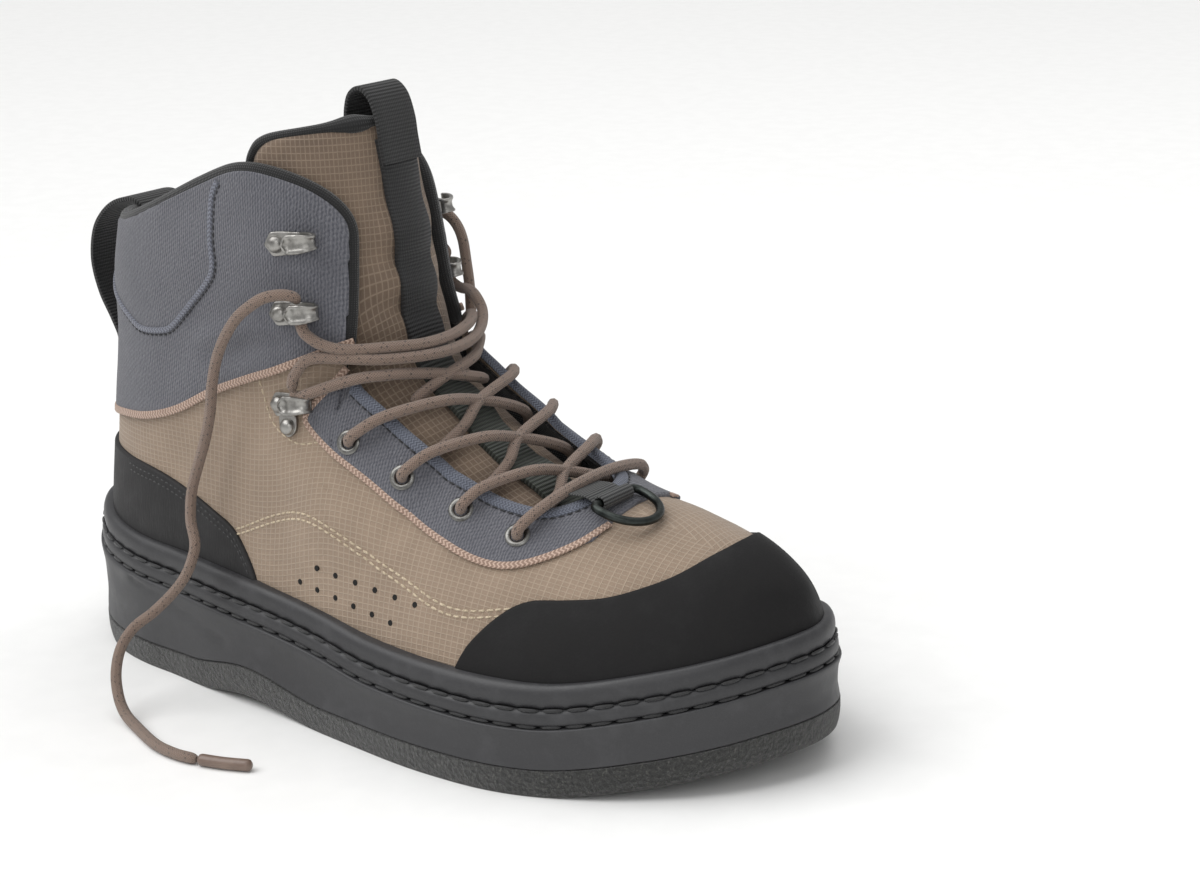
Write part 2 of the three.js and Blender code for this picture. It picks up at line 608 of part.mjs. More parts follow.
// Closed round bar along points that all lie in one plane
function closedBar(points, across, radius, sides = 8) {
  const count = points.length;
  const faces = [];
  const ring = points.flatMap((point, i) => {
    const along = points[(i + 1) % count].clone().sub(points[(i + count - 1) % count]).normalize();
    const outward = new THREE.Vector3().crossVectors(along, across);
    return Array.from({ length: sides }, (_, k) => {
      const angle = (2 * Math.PI * k) / sides;
      const offset = outward.clone().multiplyScalar(radius * Math.cos(angle))
        .addScaledVector(across, radius * Math.sin(angle));
      return point.clone().add(offset).toArray();
    });
  });
  for (let i = 0; i < count; i += 1) {
    for (let k = 0; k < sides; k += 1) {
      const next = ((i + 1) % count) * sides;
      const up = (k + 1) % sides;
      quad(faces, i * sides + k, i * sides + up, next + up, next + k);
    }
  }
  return toSolid(geometryFrom(ring, faces));
}

function dRing() {
  const { x, y, z } = RING.bar;
  const tilt = THREE.MathUtils.degToRad(RING.tilt);
  const forward = new THREE.Vector3(Math.cos(tilt), 0, Math.sin(tilt));
  const across = new THREE.Vector3(-Math.sin(tilt), 0, Math.cos(tilt));
  const half = RING.width / 2;
  const outline = [[0, -half + 1.5], [0, half - 1.5], [0.6, half - 0.4]];
  const arc = Array.from({ length: 11 }, (_, i) => {
    const angle = Math.PI / 2 - (Math.PI * i) / 10;
    return [RING.depth - half + half * Math.cos(angle), half * Math.sin(angle)];
  });
  outline.push(...arc, [0.6, -half + 0.4]);
  const points = outline.map(([out, side]) => new THREE.Vector3(x, y + side, z).addScaledVector(forward, out));
  return closedBar(points, across, RING.wire / 2);
}

// Metal of the lacing
function eyelet(frame) {
  const profile = [[2.2, -3], [2.8, -3], [2.8, 1.9], [3.8, 1.9], [2.2, 2.8]];
  const ring = new THREE.LatheGeometry([...profile, profile[0]].map(([r, z]) => new THREE.Vector2(r, z)), 8);
  return placed(ring.rotateX(Math.PI / 2), frame);
}

function dome(x, y, radius, height) {
  const profile = [[0, 0], [radius, 0], [radius * 0.85, height * 0.62], [0, height]];
  const lathe = new THREE.LatheGeometry(profile.map(([r, z]) => new THREE.Vector2(r, z)), 8);
  return toSolid(lathe.rotateX(Math.PI / 2).translate(x, y, 0));
}

function plate(outline) {
  return toSolid(new THREE.ExtrudeGeometry(new THREE.Shape(outline.map(([x, y]) => new THREE.Vector2(x, y))),
    { depth: HOOK.plate, bevelEnabled: false }));
}

// Speed hook: plate, rivet and a channel bent over the lace, its mouth to the heel
function hook(lobe = 0) {
  const path = [[2, 0.5], [5.4, 0.6], [7.9, 1.8], [8.6, 3.9], [7.4, 6.1], [4.6, 7], [0.6, 6.6]];
  const bend = sideStrap(path, HOOK.plate, HOOK.width);
  const foot = plate([[-8, 0], [-5.2, 3.9], [2, 3.9], [6.2, 2.8], [6.2, -2.8], [2, -3.9], [-5.2, -3.9]]);
  const body = foot.add(bend).add(dome(-3.7, 0, 3.1, 3.4));
  if (!lobe) return body;
  const tail = plate([[-4, -3 * lobe], [4, -3 * lobe], [3.6, -9 * lobe], [1.6, -11.4 * lobe], [-1.6, -11.4 * lobe],
    [-3.6, -9 * lobe]].sort((a, b) => Math.atan2(a[1] + 7 * lobe, a[0]) - Math.atan2(b[1] + 7 * lobe, b[0])));
  return body.add(tail).add(dome(0, -7.9 * lobe, 3.1, 3.4));
}

const named = [];

function add(name, geometry, color, roughness = 0.8, metalness = 0) {
  const mesh = new THREE.Mesh(geometry, new THREE.MeshStandardMaterial({ color, roughness, metalness }));
  mesh.name = name;
  named.push(mesh);
}

const weltForm = formSolid(GAP, 2);
add('outsole_felt', toGeometry(outsole()), 0x373735, 0.95);
add('midsole', toGeometry(midsole()), 0x464648, 0.7);
add('welt_lower', toGeometry(lowerWelt()), 0x434345, 0.7);
add('welt_upper', toGeometry(upperWelt(weltForm)), 0x484849, 0.7);
add('insole', toGeometry(insole()), 0x222222, 0.95);
add('upper', toGeometry(upper()), 0xa89680, 0.85);
add('toe_cap', toGeometry(toeCap()), 0x262626, 0.75);
add('heel_counter', toGeometry(counter()), 0x323234, 0.75);
add('eyestay', toGeometry(eyestay()), 0x666870, 0.8);
add('cuff', toGeometry(cuff()), 0x64686f, 0.85);
add('tongue', toGeometry(tongue()), 0xa2907a, 0.85);
add('tongue_webbing', toGeometry(webbing()), 0x1e1e1e, 0.8);
add('heel_pull_loop', toGeometry(heelLoop()), 0x1e1e1e, 0.8);
add('ring_tab', toGeometry(ringTab()), 0x4c5052, 0.8);
add('d_ring', toGeometry(dRing()), 0x4b504e, 0.35, 0.9);

for (const [side, word] of [['outer', 'lateral'], ['inner', 'medial']]) {
  EYELETS.forEach(({ line, share }, i) => {
    add(`eyelet_${word}_${i + 1}`, eyelet(faceFrame(line, share, side)), 0xb4b2ae, 0.3, 1);
  });
  HOOKS.forEach(({ name, line, share, lobed }) => {
    const frame = faceFrame(line, share, side, lobed ? GAP : 2 * GAP + OVERLAY);
    const geometry = toGeometry(hook(lobed ? -signOf[side] : 0));
    add(`${name}_${word}`, placed(geometry, frame), 0xb4b2ae, 0.3, 1);
  });
}

// Lace: each strand leaves an eyelet on the outside and ends short of the far edge
function across(from, to, side) {
  const far = side === 'outer' ? 'inner' : 'outer';
  const middle = (from.line + to.line) / 2;
  return [
    formPoint(from.line, from.share, side, 5.2),
    formPoint(from.line - 0.04, 0.1, side, 4.6),
    formPoint(mix(from.line, middle, 0.6), 0.02, side, 3),
    formPoint(middle, 0, side, -0.8),
    formPoint(mix(middle, to.line, 0.55), 0.012, far, -3),
  ];
}

EYELETS.slice(0, 3).forEach((eye, i) => {
  const below = EYELETS[i + 1];
  const pair = tube(across(eye, below, 'outer'), LACE).add(tube(across(eye, below, 'inner'), LACE));
  add(`lace_cross_${i + 1}`, toGeometry(pair), 0x96806f, 0.9);
});

const lowest = EYELETS[3];
const barPoints = [
  formPoint(lowest.line, lowest.share, 'outer', 5.2), formPoint(lowest.line - 0.03, 0.08, 'outer', 4.8),
  formPoint(lowest.line - 0.02, 0.008, 'outer', 3), formPoint(lowest.line - 0.02, 0.008, 'inner', 3),
  formPoint(lowest.line - 0.03, 0.08, 'inner', 4.8), formPoint(lowest.line, lowest.share, 'inner', 5.2),
];
add('lace_bar', toGeometry(tube(barPoints, LACE)), 0x96806f, 0.9);

const route = (points) => points.map(([x, y, z]) => new THREE.Vector3(x, y, z));
const joined = (first, second) => toGeometry(tube(route(first), LACE).add(tube(route(second), LACE)));
add('lace_cross_hooks', joined(LACE_ROUTES.lowHookLateral, LACE_ROUTES.lowHookMedial), 0x96806f, 0.9);
add('lace_ankle_bars', joined(LACE_ROUTES.ankleUpper, LACE_ROUTES.ankleLower), 0x96806f, 0.9);
add('lace_free_end', toGeometry(tube(route(LACE_ROUTES.freeEnd), LACE, 2)), 0x96806f, 0.9);
add('lace_aglet', toGeometry(tube(route(LACE_ROUTES.aglet), LACE + 0.4)), 0x8c7a6c, 0.6);
add('lace_loop', toGeometry(tube(route(LACE_ROUTES.loop), LACE, 2)), 0x96806f, 0.9);

const boot = new THREE.Group();
boot.add(...named);
boot.position.set(-MIDDLE.x, -MIDDLE.y, 0);

export default boot;
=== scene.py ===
import math

import bpy
import numpy as np
from mathutils import Matrix, Vector


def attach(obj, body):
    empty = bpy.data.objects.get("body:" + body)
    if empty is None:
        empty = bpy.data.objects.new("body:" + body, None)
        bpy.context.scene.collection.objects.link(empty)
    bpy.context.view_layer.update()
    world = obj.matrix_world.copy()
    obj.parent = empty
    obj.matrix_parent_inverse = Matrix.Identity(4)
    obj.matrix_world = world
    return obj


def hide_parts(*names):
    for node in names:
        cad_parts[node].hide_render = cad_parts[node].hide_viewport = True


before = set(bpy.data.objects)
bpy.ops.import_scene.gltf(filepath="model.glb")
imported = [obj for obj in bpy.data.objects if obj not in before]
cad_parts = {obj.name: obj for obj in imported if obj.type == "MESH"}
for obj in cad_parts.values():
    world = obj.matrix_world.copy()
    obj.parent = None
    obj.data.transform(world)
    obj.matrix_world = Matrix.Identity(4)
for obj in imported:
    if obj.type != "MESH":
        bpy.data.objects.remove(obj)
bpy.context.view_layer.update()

# Wading boot for the right foot: +X to the toe, +Y to the inner (medial) side, +Z up.
# Lengths are in millimetres until a mesh is made, and ORIGIN moves them into the frame.
MM = 0.001
ORIGIN = np.array([-1.5, 1.0, 0.0])
LATERAL, MEDIAL = SIDES = (-1, 1)

# Driving sizes, as in the solids
HEEL_X, SOLE_LENGTH = -159.5, 322.0
TOE_X = HEEL_X + SOLE_LENGTH
UPPER_INSET, GAP, WALL, FELT, SEAT, LACE = 6.0, 0.3, 2.4, 9.7, 1.0, 4.0
HEEL_ROUND, TOE_ROUND = 63.0, 105.0

# Plan of the sole: x, y of the outer edge, y of the inner edge
PLAN = np.array([
    (-149, -22.5, 24.5), (-129, -37.6, 36.5), (-100, -45.2, 39), (-60, -51.5, 37), (-20, -56, 39),
    (10, -60, 45), (50, -64, 57), (85, -60.5, 62), (118, -46, 59), (143, -25.5, 48), (156, -6.5, 33)], float)
MIDLINE = np.array([
    (-161, 1), (-100, -2.5), (-40, -8), (20, -6), (70, -1), (110, 5), (140, 10.5), (162.6, 14)], float)
# Heights of the sole: x, underside, top of the felt, rim of the midsole
SOLE = np.array([
    (-160, 0, FELT, 41.6), (-100, 0, FELT, 35.6), (-78, 0, FELT + 0.6, 34.8), (-44, 4, FELT + 5.6, 33.5),
    (-4, 0, FELT, 29.8), (20, 0, FELT, 26.4), (88, 0, FELT, 24.5), (125, 4.8, FELT + 4.8, 29.8),
    (161, 11.8, FELT + 11.8, 37.7)], float)
# Back of the upper: height, x
BACK = np.array([
    (30, -154.5), (40, -153.5), (55, -150.5), (75, -146.5), (91, -143.2), (116, -138.5), (136, -135.5),
    (152, -134), (168, -131.5), (195, -126.5)], float)
# Lines that fan over the upper: foot back from the toe, height on the back, ridge x and z, half
# widths outside and inside, depth of the turn over the ridge, its squareness on both sides, ridge y
FAN = np.array([
    (0, 0, 156.6, 38, 60, 60, 120, 2, 2, 14), (4, 0, 156.1, 48, 60, 60, 120, 2.05, 2.05, 13.8),
    (16, 0, 151.3, 61.5, 60, 58, 120, 2.15, 2.15, 12.5), (37, 0, 138.5, 72.8, 58, 58, 120, 2.2, 2.2, 10),
    (67, 0, 113, 82, 57, 58, 120, 2.2, 2.2, 7), (102, 0, 84, 87.5, 53, 57, 120, 2.25, 2.3, 4),
    (139, 0, 60, 95.6, 51, 53, 120, 2.35, 2.7, 2), (182, 0, 40, 107.2, 49, 50, 85, 2.4, 3, 0),
    (232, 0, 24, 119, 45, 45, 66, 2.4, 2.8, 0), (282, 0, 12.6, 130.3, 42, 42, 56, 2.3, 2.5, 0),
    (310, 41, 8, 142, 40, 40, 50, 2.2, 2.3, 0), (310, 85, 6.3, 152, 39.5, 39, 48, 2.1, 2.1, 0),
    (310, 125, 5, 165, 39, 38, 47, 2.1, 2, 0), (310, 155, 1.2, 187, 39, 37, 46, 2.1, 2, 0),
    (310, 190, -7, 226, 39, 37, 46, 2.1, 2, 0)], float)
HEEL_LINE, TOP_LINE = 10, len(FAN) - 1


# Curves and the form of the last

def curve(xs, ys):
    """Monotone cubic through the points (xs, ys), straight beyond its ends."""
    xs, ys = np.asarray(xs, float), np.asarray(ys, float)
    step = np.diff(xs)
    rise = np.diff(ys) / step
    slope = np.empty_like(ys)
    slope[0], slope[-1] = rise[0], rise[-1]
    first, second = 2 * step[1:] + step[:-1], step[1:] + 2 * step[:-1]
    same = rise[:-1] * rise[1:] > 0
    with np.errstate(divide="ignore", invalid="ignore"):
        mean = (first + second) / (first / rise[:-1] + second / rise[1:])
    slope[1:-1] = np.where(same, mean, 0)

    def at(x):
        x = np.asarray(x, float)
        i = np.clip(np.searchsorted(xs, x) - 1, 0, len(step) - 1)
        t = np.clip((x - xs[i]) / step[i], 0, 1)
        value = (1 + 2 * t) * (1 - t) ** 2 * ys[i] + t * t * (3 - 2 * t) * ys[i + 1]
        value += step[i] * (t * (1 - t) ** 2 * slope[i] - t * t * (1 - t) * slope[i + 1])
        return value + np.minimum(x - xs[0], 0) * slope[0] + np.maximum(x - xs[-1], 0) * slope[-1]
    return at


def cap(distance, length):
    """Quarter ellipse: 0 at distance 0, 1 from length on."""
    return np.sqrt(1 - (1 - np.clip(distance / length, 0, 1)) ** 2)


def eased(count):
    """Shares from 0 to 1, closer together at both ends: (1 - cos(pi t)) / 2."""
    return (1 - np.cos(np.pi * np.linspace(0, 1, count))) / 2


midline = curve(*MIDLINE.T)
floor_z, felt_z, rim_z = (curve(SOLE[:, 0], SOLE[:, k]) for k in (1, 2, 3))
back_x = curve(*BACK.T)
fan = [curve(np.arange(len(FAN)), column) for column in FAN.T]


def end_caps(x, inset):
    """Rounding of the plan at the heel and the toe, from 0 to 1."""
    return cap(x - HEEL_X - inset, HEEL_ROUND - inset) * cap(TOE_X - inset - x, TOE_ROUND - inset)


plan_rows = {
    LATERAL: curve(PLAN[:, 0], (midline(PLAN[:, 0]) - PLAN[:, 1]) / end_caps(PLAN[:, 0], 0)),
    MEDIAL: curve(PLAN[:, 0], (PLAN[:, 2] - midline(PLAN[:, 0])) / end_caps(PLAN[:, 0], 0)),
}


def plan_width(x, side):
    """Half width of the plan before its ends are rounded."""
    return plan_rows[side](np.clip(x, PLAN[0, 0], PLAN[-1, 0]))


def form(line, share, side, grow=0.0):
    """Point of the upper's form. A line of the fan runs from its ridge point (share 0) to the sole or
    the back (share 1), straight in side view; its y is the half width there, rounded over the ridge by
    a superellipse and at heel and toe by quarter ellipses. grow moves the form outwards."""
    line, share, grow = np.broadcast_arrays(*(np.asarray(v, float) for v in (line, share, grow)))
    toe = TOE_X - UPPER_INSET + grow
    corner = rim_z(BACK[1, 1]) + SEAT
    heel = back_x(corner) - grow
    foot_x = toe + (heel - toe) * fan[0](np.minimum(line, HEEL_LINE)) / FAN[HEEL_LINE, 0]
    up = line >= HEEL_LINE
    back_z = np.where(line <= HEEL_LINE, corner, np.maximum(corner, fan[1](line)))
    foot_z = np.where(up, back_z, rim_z(foot_x) + SEAT)
    foot_x = np.where(up, back_x(back_z) - grow, foot_x)
    along = 0.02
    slope_x = fan[2](line + along) - fan[2](np.maximum(0, line - along))
    slope_z = fan[3](line + along) - fan[3](np.maximum(0, line - along))
    slope = np.hypot(slope_x, slope_z)
    ridge_x = np.where(line == 0, toe, fan[2](line) + grow * slope_z / slope)
    ridge_z = np.where(line == 0, foot_z, fan[3](line) - grow * slope_x / slope)
    x = ridge_x + (foot_x - ridge_x) * share
    z = ridge_z + (foot_z - ridge_z) * share
    length = np.hypot(foot_x - ridge_x, foot_z - ridge_z)
    ease = share * share * (3 - 2 * share)
    width = fan[4 if side < 0 else 5](line)
    full = width * (1 - ease) + (plan_width(x, side) - UPPER_INSET) * ease + grow
    depth = np.maximum(1e-6, np.minimum(fan[6](line) + grow, length))
    power = fan[7 if side < 0 else 8](line)
    front = (1 - (1 - np.clip(share * length / depth, 0, 1)) ** power) ** (1 / power)
    heel_round = HEEL_ROUND - UPPER_INSET - 9 * np.clip((z - 40) / 80, 0, 1) + grow
    back = np.where((share == 1) & up, 0, cap(x - back_x(z) + grow, heel_round))
    toe_cap = cap(toe - x, TOE_ROUND - UPPER_INSET + grow)
    fade = np.where(line > HEEL_LINE, np.clip(1 - (line - HEEL_LINE) / 2, 0, 1), 1)
    middle = fan[9](line)
    y = middle + (midline(foot_x) * fade - middle) * share + side * full * front * back * toe_cap
    return np.stack([x, y, z], -1)


def outward(line, share, side, grow=0.0):
    """Unit normal of the form, from its two tangents."""
    step = 0.02
    low, high = np.maximum(share - step, 1e-4), np.minimum(share + step, 1 - 1e-4)
    down = form(line, high, side, grow) - form(line, low, side, grow)
    along = form(np.maximum(line - step, 0), share, side, grow) - form(line + step, share, side, grow)
    return unit(np.cross(down, along) * -side)


# Finding the place on the form that a side view shows
TABLE_LINES, TABLE_SHARES = np.linspace(0.02, TOP_LINE, 210), np.linspace(0.0, 1.0, 101)
side_tables = {side: form(TABLE_LINES[:, None], TABLE_SHARES[None], side) for side in SIDES}


def locate(points, side, seen=(0, 2), columns=101):
    """Line and share of the form under points seen from the side (x, z) or from above (x, y): nearest
    of the first columns of a table, then Newton steps on the two equations of the seen coordinates."""
    points = np.asarray(points, float)
    table = side_tables[side][:, :columns][..., list(seen)].reshape(-1, 2)
    nearest = np.argmin(((points[:, None] - table[None]) ** 2).sum(-1), 1)
    line = TABLE_LINES[nearest // columns].copy()
    share = TABLE_SHARES[nearest % columns].copy()
    step = 1e-3
    for _ in range(12):
        here = form(line, share, side)[:, list(seen)]
        by_line = (form(line + step, share, side)[:, list(seen)] - here) / step
        by_share = (form(line, share + step, side)[:, list(seen)] - here) / step
        miss = points - here
        area = by_line[:, 0] * by_share[:, 1] - by_line[:, 1] * by_share[:, 0]
        area = np.where(np.abs(area) < 1e-3, 1e-3, area)
        line += np.clip((miss[:, 0] * by_share[:, 1] - miss[:, 1] * by_share[:, 0]) / area, -0.4, 0.4)
        share += np.clip((by_line[:, 0] * miss[:, 1] - by_line[:, 1] * miss[:, 0]) / area, -0.1, 0.1)
        line, share = np.clip(line, 0.01, TOP_LINE + 0.5), np.clip(share, 0.0, 0.9995)
    return line, share


def smooth_line(points, step=1.0):
    """Catmull-Rom curve through given points, at even steps along it."""
    points = np.asarray(points, float)
    ends = np.vstack([2 * points[0] - points[1], points, 2 * points[-1] - points[-2]])
    t = np.linspace(0, 1, 24, endpoint=False)[:, None, None]
    a, b, c, d = ends[:-3], ends[1:-2], ends[2:-1], ends[3:]
    dense = 2 * b + (c - a) * t + (2 * a - 5 * b + 4 * c - d) * t ** 2 + (3 * b - a - 3 * c + d) * t ** 3
    dense = 0.5 * dense.transpose(1, 0, 2).reshape(-1, points.shape[1])
    return even(np.vstack([dense, points[-1:]]), step)


def run_along(points):
    """Length of the way from the first point to each point."""
    return np.concatenate([[0], np.cumsum(np.linalg.norm(np.diff(points, axis=0), axis=1))])


def sampled(at, run, table):
    """Each column of the table, read at places along the run."""
    return np.stack([np.interp(at, run, column) for column in table.T], 1)


def even(points, step):
    """The same path with points at even steps."""
    run = run_along(points)
    return sampled(np.linspace(0, run[-1], max(2, int(round(run[-1] / step)) + 1)), run, points)


def unit(vectors):
    return vectors / np.maximum(np.linalg.norm(vectors, axis=-1, keepdims=True), 1e-12)


def tangents(points):
    return unit(np.gradient(points, axis=0))


# Outlines seen from the side (x, z), and the throat seen from above (x, half width)
COLLAR = [(-5.5, 168), (-7, 180), (-15, 189.5), (-29, 195.5), (-44, 196.5), (-62, 190.5), (-90, 178.5),
          (-112, 171), (-136, 168)]
TOE_CAP = [(53, 28), (57.5, 37), (62.3, 47.3), (71.4, 57.8), (80, 63.1), (92, 64.6), (105.4, 66.3),
           (118, 70.5), (125.5, 74.8), (132.5, 82), (134, 100)]
COUNTER = [(-35, 30), (-40.6, 46.4), (-45.4, 54.5), (-54.4, 63.8), (-66, 68.7), (-80, 73.7), (-97.4, 78),
           (-115.4, 80), (-165, 82.5)]
EYESTAY = [(-5, 129), (-9, 123), (-17, 112.8), (-15.8, 108.4), (-5.5, 101.4), (12.1, 93), (28.7, 83.4),
           (45.5, 75.7), (58.3, 72.3), (69, 71.7), (79, 74.5), (88, 78.8), (92.6, 83), (93, 110)]
CUFF = [(-165, 92.5), (-140, 93), (-118.7, 96.4), (-100.7, 99), (-83.2, 104.3), (-63.2, 114.3),
        (-44.7, 121.8), (-29.5, 127.4), (-11, 135.2), (-4, 138)]
THROAT = [(-5.3, 38), (-1, 31.8), (6, 31), (28, 29.3), (48, 26.6), (62, 24), (71, 20.5), (77, 14), (79.8, 7),
          (80.6, 0)]
TONGUE = [(-38, 205), (-41.5, 199), (-40, 180), (-34, 130), (-14, 108), (30, 82), (70, 62), (100, 60),
          (100, 90), (60, 120), (30, 140), (14, 206), (2, 212.5), (-20, 211), (-33, 208.5)]


def edge_distance(outline, at, chunk=20000):
    """Signed distance in the side view: positive to the right of the line as it runs."""
    line = smooth_line(outline, 3.0)
    start, run = line[:-1], np.diff(line, axis=0)
    flat = at.reshape(-1, 2)
    near = np.empty(len(flat))
    for first in range(0, len(flat), chunk):
        gap = flat[first:first + chunk, None] - start[None]
        t = np.clip((gap * run).sum(-1) / (run ** 2).sum(-1), 0, 1)
        distance = ((gap - t[..., None] * run) ** 2).sum(-1)
        k = np.argmin(distance, 1)
        rows = np.arange(len(k))
        turn = run[k, 0] * gap[rows, k, 1] - run[k, 1] * gap[rows, k, 0]
        near[first:first + chunk] = np.sqrt(distance[rows, k]) * np.where(turn < 0, 1, -1)
    return near.reshape(at.shape[:-1])


def beyond(outline, sign):
    """Test of a point: its signed distance from a side-view outline, times sign."""
    return lambda point: sign * edge_distance(outline, point[..., [0, 2]])


def beside_throat(point):
    """Distance from the throat's edge, seen from above; positive on the upper."""
    x, y = point[..., 0], np.abs(point[..., 1])
    return np.where(x < THROAT[0][0], THROAT[0][0] - x, -edge_distance(THROAT, np.stack([x, y], -1)))


def within(*tests):
    """The least of several signed distances: positive where a point is inside them all."""
    return lambda point: np.minimum.reduce([test(point) for test in tests])


# The collar's line goes on over the throat, level ahead of the boot
AHEAD = [(-5, 160), (-2, 151), (4, 144), (14, 141), (32, 140), (64, 140), (120, 140), (220, 140)]
below_collar = beyond(COLLAR[::-1] + AHEAD, 1)
on_toe_cap, on_counter = beyond(TOE_CAP, 1), beyond(COUNTER, -1)
above_cuff_line, on_eyestay = beyond(CUFF, -1), beyond(EYESTAY, -1)
on_upper = within(below_collar, beside_throat)


# Folds and soft forms of the cloth: side (0 for both), start, end, width and rise
FOLDS = [
    (LATERAL, (-62, 128), (-30, 136), 4.0, -0.9), (LATERAL, (-66, 134), (-38, 141), 3.5, 0.8),
    (LATERAL, (-58, 121), (-34, 129), 3.5, 0.7), (LATERAL, (-70, 140), (-44, 147), 3.5, -0.6),
    (MEDIAL, (-64, 130), (-30, 137), 4.0, -0.9), (MEDIAL, (-68, 137), (-36, 145), 4.0, 0.7),
    (0, (-122, 150), (-86, 160), 16.0, 1.2), (0, (-70, 165), (-30, 172), 15.0, 1.0),
    (LATERAL, (-20, 104), (34, 78), 8.0, -0.7), (LATERAL, (-14, 92), (46, 66), 9.0, 0.6),
    (LATERAL, (-30, 84), (-24, 58), 7.0, -0.6), (LATERAL, (44, 52), (70, 66), 6.0, 0.5),
    (MEDIAL, (-22, 100), (30, 76), 8.0, -0.7), (MEDIAL, (-10, 88), (50, 60), 10.0, 0.6),
    (0, (94, 70), (120, 78), 7.0, -0.6), (0, (84, 66), (112, 72), 6.0, 0.4),
]


def line_distance(x, z, start, end):
    """Distance in the side view from the straight line between two points."""
    run_x, run_z = end[0] - start[0], end[1] - start[1]
    t = np.clip(((x - start[0]) * run_x + (z - start[1]) * run_z) / (run_x ** 2 + run_z ** 2), 0, 1)
    return np.hypot(x - start[0] - t * run_x, z - start[1] - t * run_z)


def fold(x, z, start, end, width, height):
    """Gaussian ridge (or trough, where height is negative) along a line, faded at its ends."""
    return height * np.exp(-(line_distance(x, z, start, end) / width) ** 2)


def relief(point, side):
    """Rise of the cloth: the folds of this side, and a slow sum of sines for what no sewn cloth is
    free of."""
    x, y, z = np.moveaxis(point, -1, 0)
    rise = 0.14 * np.sin(x / 9 + z / 15) * np.sin(z / 11 - y / 13)
    rise = rise + 0.1 * np.sin(x / 4.7 - z / 6.1 + y / 5)
    return rise + sum(fold(x, z, *shape) for which, *shape in FOLDS if which in (0, side))


# Meshes

WELD, SHARP = 1e-3, math.radians(46)


def make(name, part, material, slot, stands_for=(), body="boot"):
    """Mesh piece from points in millimetres, four-cornered faces and a UV in millimetres. Corners
    closer than WELD become one, and a face that loses a corner this way becomes a triangle or goes."""
    points, faces, uv = part
    points = np.asarray(points, float).reshape(-1, 3)
    faces = np.asarray(faces, int).reshape(-1, 4)
    keys = np.round(points / WELD).astype(np.int64)
    _, first, where = np.unique(keys, axis=0, return_index=True, return_inverse=True)
    joined = where.reshape(-1)[faces]
    same = joined == np.roll(joined, -1, axis=1)
    apart = (joined[:, 0] != joined[:, 2]) & (joined[:, 1] != joined[:, 3])
    full, three = ~same.any(1) & apart, (same.sum(1) == 1) & apart
    kept = np.sort(np.argsort(same[three], axis=1, kind="stable")[:, :3], axis=1)
    corners = [joined[full], np.take_along_axis(joined[three], kept, 1)]
    sources = [faces[full], np.take_along_axis(faces[three], kept, 1)]
    mesh = bpy.data.meshes.new(name)
    mesh.vertices.add(len(first))
    mesh.vertices.foreach_set("co", ((points[first] + ORIGIN) * MM).ravel())
    total = np.concatenate([np.full(len(group), group.shape[1]) for group in corners])
    mesh.loops.add(int(total.sum()))
    numbers = np.concatenate([group.ravel() for group in corners]).astype(np.int32)
    mesh.loops.foreach_set("vertex_index", numbers)
    mesh.polygons.add(len(total))
    mesh.polygons.foreach_set("loop_start", (np.cumsum(total) - total).astype(np.int32))
    mesh.polygons.foreach_set("use_smooth", np.ones(len(total), bool))
    mesh.update(calc_edges=True)
    if uv is not None:
        layer = mesh.uv_layers.new(name="UVMap")
        flat = np.concatenate([group.ravel() for group in sources])
        layer.data.foreach_set("uv", np.asarray(uv, float).reshape(-1, 2)[flat].ravel())
    mesh.validate()
    mesh.set_sharp_from_angle(angle=SHARP)
    mesh.materials.append(material)
    piece = bpy.data.objects.new(name, mesh)
    bpy.context.scene.collection.objects.link(piece)
    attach(piece, body)
    if stands_for:
        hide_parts(*stands_for)
    return piece


def quads(*corners):
    """Faces from the numbers of their four corners, each an array or one number for them all."""
    return np.stack(np.broadcast_arrays(*corners), -1).reshape(-1, 4)


def grid_faces(rows, columns, start=0, closed=False, flip=False):
    """Faces of a grid of points numbered row by row; closed joins the last column to the first."""
    low = start + np.arange(rows - 1)[:, None] * columns
    j = np.arange(columns if closed else columns - 1)[None]
    right = (j + 1) % columns
    faces = quads(low + j, low + right, low + columns + right, low + columns + j)
    return faces[:, ::-1] if flip else faces


def gather(parts):
    """Several (points, faces, uv) as one."""
    points, faces, uv, start = [], [], [], 0
    for p, f, u in parts:
        p = np.asarray(p, float).reshape(-1, 3)
        points.append(p)
        faces.append(np.asarray(f, int) + start)
        uv.append(np.zeros((len(p), 2)) if u is None else np.asarray(u, float).reshape(-1, 2))
        start += len(p)
    return np.vstack(points), np.vstack(faces), np.vstack(uv)


def step_up(value, low, high):
    """0 below low, 1 above high, a smooth cubic between them."""
    t = np.clip((value - low) / (high - low), 0, 1)
    return t * t * (3 - 2 * t)


def side_cloth(point, side):
    """Millimetres on the cloth seen from the side: x and z, with the way over the instep added to z
    and the way round the heel added to x, both from the half width."""
    x, y, z = np.moveaxis(point, -1, 0)
    over, heel = step_up(x, -50, 0), step_up(-x, 55, 100)
    u = x + 0.8 * heel * (np.abs(y) - 38)
    v = z * (1 - 0.15 * over) - 0.75 * over * (np.abs(y) - 48)
    return np.stack([u, v * side], -1)


def front_cloth(point, side):
    """Millimetres on the cloth seen from the front: along the tongue, which is z above the ankle and
    the slope of the instep below it, and across it, with the way back along its sides added above."""
    x, y, z = np.moveaxis(point, -1, 0)
    high = step_up(z, 140, 170)
    along = high * (z - 34) + (1 - high) * (0.8 * z - 0.6 * x)
    return np.stack([along, side * (1.05 * np.abs(y) + 0.8 * high * np.clip(-x - 6, 0, None))], -1)


